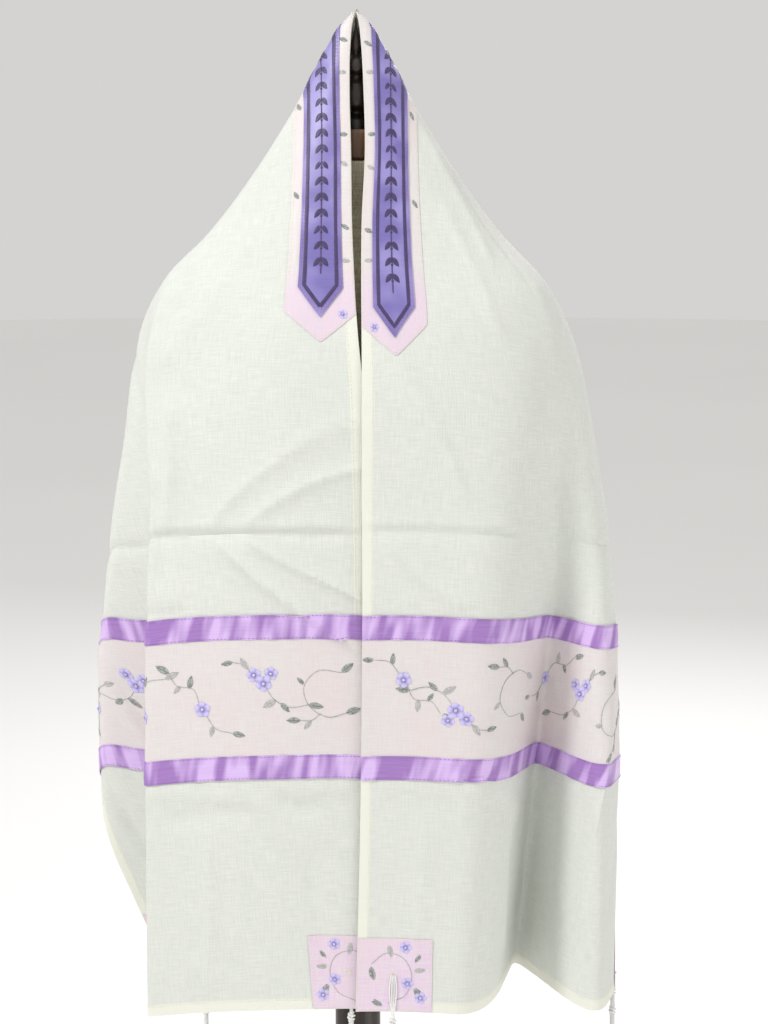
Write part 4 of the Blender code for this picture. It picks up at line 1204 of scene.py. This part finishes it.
class SHAWL_OT_embroidery(bpy.types.Operator):
    """Embroider vines, leaves and beaded flowers on the organza"""
    bl_idname = "shawl.embroidery"
    bl_label = "Embroidery"

    def execute(self, context):
        templates = make_templates()
        self.sizes = context.scene.shawl_sizes
        self.lift = ORGANZA_LIFT + ORGANZA / 2 + 0.05 * MM
        for label, side in SIDES.items():
            self.leaves, self.pale_leaves, self.petals, self.beads = (Needlework(templates) for _ in range(4))
            self.leaf_count = 0
            for row in BAND_LAYOUT[label]:
                self.spray(side, dict(zip(LAYOUT_COLUMNS, row)))
            for far in (False, True):
                self.patch(side, far)
            self.backing(side)
            self.leaves.object(f"{label}_vines_and_leaves", MATERIALS["leaf"], "organza")
            self.pale_leaves.object(f"{label}_pale_leaves", MATERIALS["pale leaf"], "organza")
            self.petals.object(f"{label}_flowers", MATERIALS["petal"], "organza")
            self.beads.object(f"{label}_flower_beads", MATERIALS["bead"], "organza")
        return {"FINISHED"}

    def flower(self, u, v, share=1.0, turn=0.3):
        """Five petals round a bead."""
        radius = 0.5 * self.sizes.flower * share
        for petal in range(5):
            angle = turn + petal * math.tau / 5
            self.petals.lay("petal", u + 0.10 * radius * math.cos(angle), v + 0.10 * radius * math.sin(angle),
                            angle, 0.95 * radius, 1.05 * radius, 1.6 * MM * share, self.lift)
        self.beads.lay("bead", u, v, 0, 3.0 * MM * share, 3.0 * MM * share, 2.4 * MM, self.lift + 0.9 * MM)

    def leaf(self, u, v, turn, share=1.0):
        """One leaf; every third one is pale."""
        length = self.sizes.leaf * share
        self.leaf_count += 1
        work = self.pale_leaves if self.leaf_count % 3 == 0 else self.leaves
        work.lay("leaf", u, v, turn, length, 0.45 * length, 0.55 * MM, self.lift)

    def spray(self, side, row):
        """One spray of the band's layout, kept inside its edges."""
        turn = math.radians(row["turn"])
        flip = -1 if row["mirrored"] else 1

        def to_flat(x, y):
            y = y * flip
            below = np.clip(row["down"] + x * math.cos(turn) - y * math.sin(turn), 3, 103)
            along = np.clip(row["along"] + x * math.sin(turn) + y * math.cos(turn), 4, 496)
            return side * (UPPER_RIBBON[1] + below * MM), along * MM

        parts = SPRAYS[row["kind"]]
        for stops in parts["vines"]:
            path = smooth_path(stops, 2.5)
            flat = np.stack(to_flat(path[:, 0], path[:, 1]), axis=-1)
            self.leaves.thread(flat, VINE / 2, self.lift + 0.15 * MM)
        for x, y, angle, share in parts["leaves"]:
            u, v = to_flat(x, y)
            heading = turn + flip * math.radians(angle)
            self.leaf(u, v, math.atan2(math.sin(heading), side * math.cos(heading)), share)
        for number, (x, y) in enumerate(parts["flowers"]):
            u, v = to_flat(x, y)
            self.flower(u, v, 1.0 - 0.08 * number, 0.3 + 0.9 * number + row["along"])

    def patch(self, side, far):
        """Vine, leaves and flowers of one corner patch."""
        def to_flat(up, inward):
            v = inward * MM
            return side * (HALF_LENGTH - up * MM), WIDTH - v if far else v

        path = smooth_path(PATCH_VINE, 2.5)
        self.leaves.thread(np.stack(to_flat(path[:, 0], path[:, 1]), axis=-1), VINE / 2, self.lift + 0.15 * MM)
        for up, inward, angle, share in PATCH_LEAVES:
            u, v = to_flat(up, inward)
            heading = math.radians(angle)
            turn = math.atan2(math.sin(heading) * (-1 if far else 1), side * math.cos(heading))
            self.leaf(u, v, turn, 0.8 * share)
        for up, inward in PATCH_FLOWERS:
            self.flower(*to_flat(up, inward), 0.8)

    def backing(self, side):
        """Small leaves that show between the neckband and the edges of its backing."""
        for number, distance in enumerate(np.arange(0.030, 0.262, 0.029)):
            inner = number % 3 != 2
            v = 5.0 * MM if inner else 56.5 * MM
            turn = math.radians(65 + 25 * (number % 2)) * (1 if inner else 0.4)
            self.leaf(side * distance, v - 2 * MM, turn, 0.68)
        self.flower(side * (BACKING_CORNER[side] + 0.002), 12 * MM, 0.6)


# Stitching

class SHAWL_OT_stitching(bpy.types.Operator):
    """Run the sewing stitches along hems, ribbons, patches and neckband"""
    bl_idname = "shawl.stitching"
    bl_label = "Stitching"

    def execute(self, context):
        self.sizes = context.scene.shawl_sizes
        templates = make_templates()
        cream, lilac = Needlework(templates), Needlework(templates)
        rim = HEM_WIDTH - 1.6 * MM
        reach = HALF_LENGTH - rim
        above_cloth = CLOTH / 2
        hem = [(-reach, rim), (reach, rim), (reach, WIDTH - rim), (-reach, WIDTH - rim), (-reach, rim)]
        self.run(cream, hem, above_cloth, skip=0.004)
        above_ribbon = RIBBON_LIFT + RIBBON / 2 + 0.45 * MM
        for side in SIDES.values():
            for band in (UPPER_RIBBON, LOWER_RIBBON):
                for distance in (band[0] + 1.3 * MM, band[1] - 1.3 * MM):
                    line = [(side * distance, 3 * MM), (side * distance, WIDTH - 3 * MM)]
                    self.run(lilac, line, above_ribbon)
            for low, high in ((3 * MM, PATCH - 2 * MM), (WIDTH - PATCH + 2 * MM, WIDTH - 3 * MM)):
                top, bottom = side * (HALF_LENGTH - PATCH + 2 * MM), side * (HALF_LENGTH - 3 * MM)
                square = [(top, low), (top, high), (bottom, high), (bottom, low), (top, low)]
                self.run(cream, square, ORGANZA_LIFT + ORGANZA / 2 + 0.1 * MM)
        above_band = BAND_LIFT + BAND / 2 + 0.1 * MM
        for distance in (1.6 * MM, 3.4 * MM):
            self.run(lilac, edge_path(BAND_CORNER, distance, BAND_INNER, BAND_OUTER), above_band)
        backing = edge_path(BACKING_CORNER, 2.0 * MM, 0.0, BACKING_OUTER)
        self.run(cream, backing, ORGANZA_LIFT + ORGANZA / 2)
        cream.object("cream_stitching", MATERIALS["cream thread"], "ivory_cloth")
        lilac.object("lilac_stitching", MATERIALS["lilac thread"], "satin_ribbon")
        return {"FINISHED"}

    def run(self, work, stops, lift, skip=0.0):
        """Running stitches along a line through flat stops, left out nearer the apex than skip."""
        stitch, thread = self.sizes.stitch, self.sizes.thread
        pitch = stitch * 1.45
        path = walk([tuple(stop) for stop in stops], pitch / 3)
        reach = reaches(path)
        starts = np.arange(pitch / 2, reach[-1] - pitch / 2, pitch)
        places, ahead = (np.stack([np.interp(query, reach, column) for column in path.T], axis=-1)
                         for query in (starts, starts + stitch / 4))
        for (u, v), (next_u, next_v) in zip(places, ahead):
            if math.hypot(u, v) > skip:
                turn = math.atan2(next_v - v, next_u - u)
                work.lay("stitch", u, v, turn, stitch, thread * 1.3, thread, lift + 0.2 * thread)


# Fringes

# Wraps of the winding between the knots, and the knots of the bound cord
WINDINGS = (7, 8, 11, 13)
KNOTS = 5
STRANDS = 8
KNOT_HEIGHT = 8.0 * MM
BOUND_LENGTH = 0.095
LOOSE_LENGTH = 0.158
CORE = 1.5 * MM


def helix(centre_top, drop, turns, radius, rise=0.0):
    """Points down a helix round a straight cord, swelling by rise at its middle."""
    count = max(6, round(turns * 9))
    share = np.arange(count + 1) / count
    wide = radius + rise * np.sin(math.pi * share)
    angle = share * turns * math.tau
    x, y, z = centre_top
    return np.stack([x + wide * np.cos(angle), y + wide * np.sin(angle), z - drop * share], axis=-1)


class SHAWL_OT_fringes(bpy.types.Operator):
    """Tie the knotted fringe through the eyelet of each corner"""
    bl_idname = "shawl.fringes"
    bl_label = "Corner fringes"

    def execute(self, context):
        self.cord = context.scene.shawl_sizes.cord
        templates = make_templates()
        eyelets = Needlework(templates)
        for label, side in SIDES.items():
            for corner, flat_v in (("front", FRINGE_HOLE), ("far", WIDTH - FRINGE_HOLE)):
                bundle = Bundle()
                behind = label == "left" and corner == "front"
                foot = self.loop(bundle, side, flat_v, -1 if behind else 1)
                self.bound_cord(bundle, foot)
                self.strands(bundle, foot)
                name = f"{label}_{corner}"
                fringe = bundle.object(f"knotted_fringe_{name}", MATERIALS["cord"], "white_cord")
                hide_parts(f"{name}_tassel")
                self.eyelet(eyelets, side, flat_v)
        eyelets.object("eyelet_stitching", MATERIALS["cream thread"], "ivory_cloth")
        return {"FINISHED"}

    @staticmethod
    def eyelet(work, side, flat_v):
        """Ring of stitches round the hole."""
        radius = 2.6 * MM
        for count in range(18):
            angle = count * math.tau / 18
            u = side * (HALF_LENGTH - FRINGE_HOLE) + radius * math.cos(angle)
            work.lay("stitch", u, flat_v + radius * math.sin(angle), angle, 1.9 * MM, 0.8 * MM, 0.6 * MM,
                     ORGANZA_LIFT + ORGANZA)

    def loop(self, bundle, side, flat_v, face):
        """Four strands on each face of the cloth, from the hole to the head of the bound cord below the hem."""
        hem_lift = 3.3 * MM if face > 0 else -2.2 * MM
        hem, normal = cloth_frame(np.array([side * HALF_LENGTH]), np.array([flat_v]))
        foot = hem[0] + normal[0] * hem_lift + down(2.5 * MM)
        for across in range(STRANDS):
            outer = across < 4
            spread = across % 4 - 1.5
            lift = face * ((2.0 * MM if outer else 1.4 * MM) + 0.35 * MM * (across % 2)) + (face - 1) * 0.2 * MM
            if face > 0 and not outer:
                lift = -1.4 * MM - 0.25 * MM * (across % 2)
            path = []
            for share in np.linspace(0, 1, 10):
                u = side * (HALF_LENGTH - FRINGE_HOLE * (1 - share) - 0.3 * MM)
                sag = spread * 2.1 * MM * (0.35 + 0.65 * math.sin(math.pi * min(1.0, share * 0.85 + 0.15)))
                place, out = cloth_frame(np.array([u]), np.array([flat_v + sag]))
                path.append(place[0] + out[0] * lift)
            sweep = math.tau * across / STRANDS
            head = foot + np.array([0.9 * MM * math.cos(sweep), 0.9 * MM * math.sin(sweep), -2.5 * MM])
            path += [0.45 * path[-1] + 0.55 * head + down(-0.8 * MM), head, head + down(3 * MM)]
            tube(bundle, smooth_path(path, 2.0 * MM), self.cord / 2, 7)
        return foot

    def bound_cord(self, bundle, foot):
        """Core of the fringe with its double knots and the windings between them."""
        pitch = BOUND_LENGTH / KNOTS
        tube(bundle, [foot + down(drop) for drop in evenly(0.002, BOUND_LENGTH, 5 * MM)], CORE, 8)
        for knot in range(KNOTS):
            top = foot + down(pitch * knot + 2 * MM)
            for twist in (1, -1):
                wrap = helix(top, KNOT_HEIGHT, 2.5 * twist, CORE + 0.35 * self.cord, 0.9 * MM)
                tube(bundle, wrap, 0.68 * self.cord, 7)
            if knot < len(WINDINGS):
                wraps = WINDINGS[knot]
                below = top + down(KNOT_HEIGHT - 0.4 * MM)
                tube(bundle, helix(below, pitch - KNOT_HEIGHT + 0.6 * MM, wraps, CORE + 0.3 * MM),
                     min(0.5 * self.cord, 0.55 * (pitch - KNOT_HEIGHT) / wraps), 5)

    def strands(self, bundle, foot):
        """Eight loose strands with a small knot near each end."""
        start = foot + down(BOUND_LENGTH - 8 * MM)
        share = np.linspace(0, 1, 26)[:, None]
        for strand in range(STRANDS):
            sweep = math.tau * (strand + 0.3) / STRANDS
            outward = np.array([math.cos(sweep), math.sin(sweep), 0])
            sideways = np.array([-math.sin(sweep), math.cos(sweep), 0])
            length = LOOSE_LENGTH * (1 - 0.025 * ((strand * 5) % 7))
            spread = 1.3 * MM + (1.6 + 3.4 * ((strand * 3) % 8) / 7) * MM * share**0.8
            wave = (0.9 + 0.5 * (strand % 3)) * MM * np.sin(share * (7 + strand % 4) + strand) * share
            path = start + outward * spread + sideways * wave + down(length + 6 * MM) * share
            tube(bundle, path, self.cord / 2, 6)
            knot = (path[-3] + path[-2]) / 2
            wrap = helix(knot + down(-1.4 * MM), 2.8 * MM, 2.2, 0.45 * self.cord, 0.25 * MM)
            tube(bundle, wrap, 0.45 * self.cord, 5)


class SHAWL_PT_panel(bpy.types.Panel):
    """Sizes, colours and steps of the shawl"""
    bl_idname = "SHAWL_PT_panel"
    bl_label = "Prayer shawl"
    bl_space_type = "VIEW_3D"
    bl_region_type = "UI"
    bl_category = "Shawl"

    def draw(self, context):
        """List the settings, then the steps."""
        for settings in (context.scene.shawl_sizes, context.scene.shawl_colours):
            for key in settings.__annotations__:
                self.layout.prop(settings, key)
        for step in STEPS:
            self.layout.operator(step.bl_idname)


STEPS = (SHAWL_OT_stage, SHAWL_OT_stand, SHAWL_OT_cloth, SHAWL_OT_bands, SHAWL_OT_patches, SHAWL_OT_neckband,
         SHAWL_OT_embroidery, SHAWL_OT_stitching, SHAWL_OT_fringes)
CLASSES = (ShawlColours, ShawlSizes, *STEPS, SHAWL_PT_panel)


def register():
    """Add the settings, steps and panel to Blender."""
    for item in CLASSES:
        bpy.utils.register_class(item)
    bpy.types.Scene.shawl_colours = bpy.props.PointerProperty(type=ShawlColours)
    bpy.types.Scene.shawl_sizes = bpy.props.PointerProperty(type=ShawlSizes)


def unregister():
    """Take them out again."""
    del bpy.types.Scene.shawl_sizes
    del bpy.types.Scene.shawl_colours
    for item in reversed(CLASSES):
        bpy.utils.unregister_class(item)


def main():
    """Build the whole scene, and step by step."""
    register()
    prepare_materials()
    bpy.ops.shawl.stage()
    bpy.ops.shawl.stand()
    bpy.ops.shawl.cloth()
    bpy.ops.shawl.bands()
    bpy.ops.shawl.patches()
    bpy.ops.shawl.neckband()
    bpy.ops.shawl.embroidery()
    bpy.ops.shawl.stitching()
    bpy.ops.shawl.fringes()


if __name__ == "__main__":
    main()
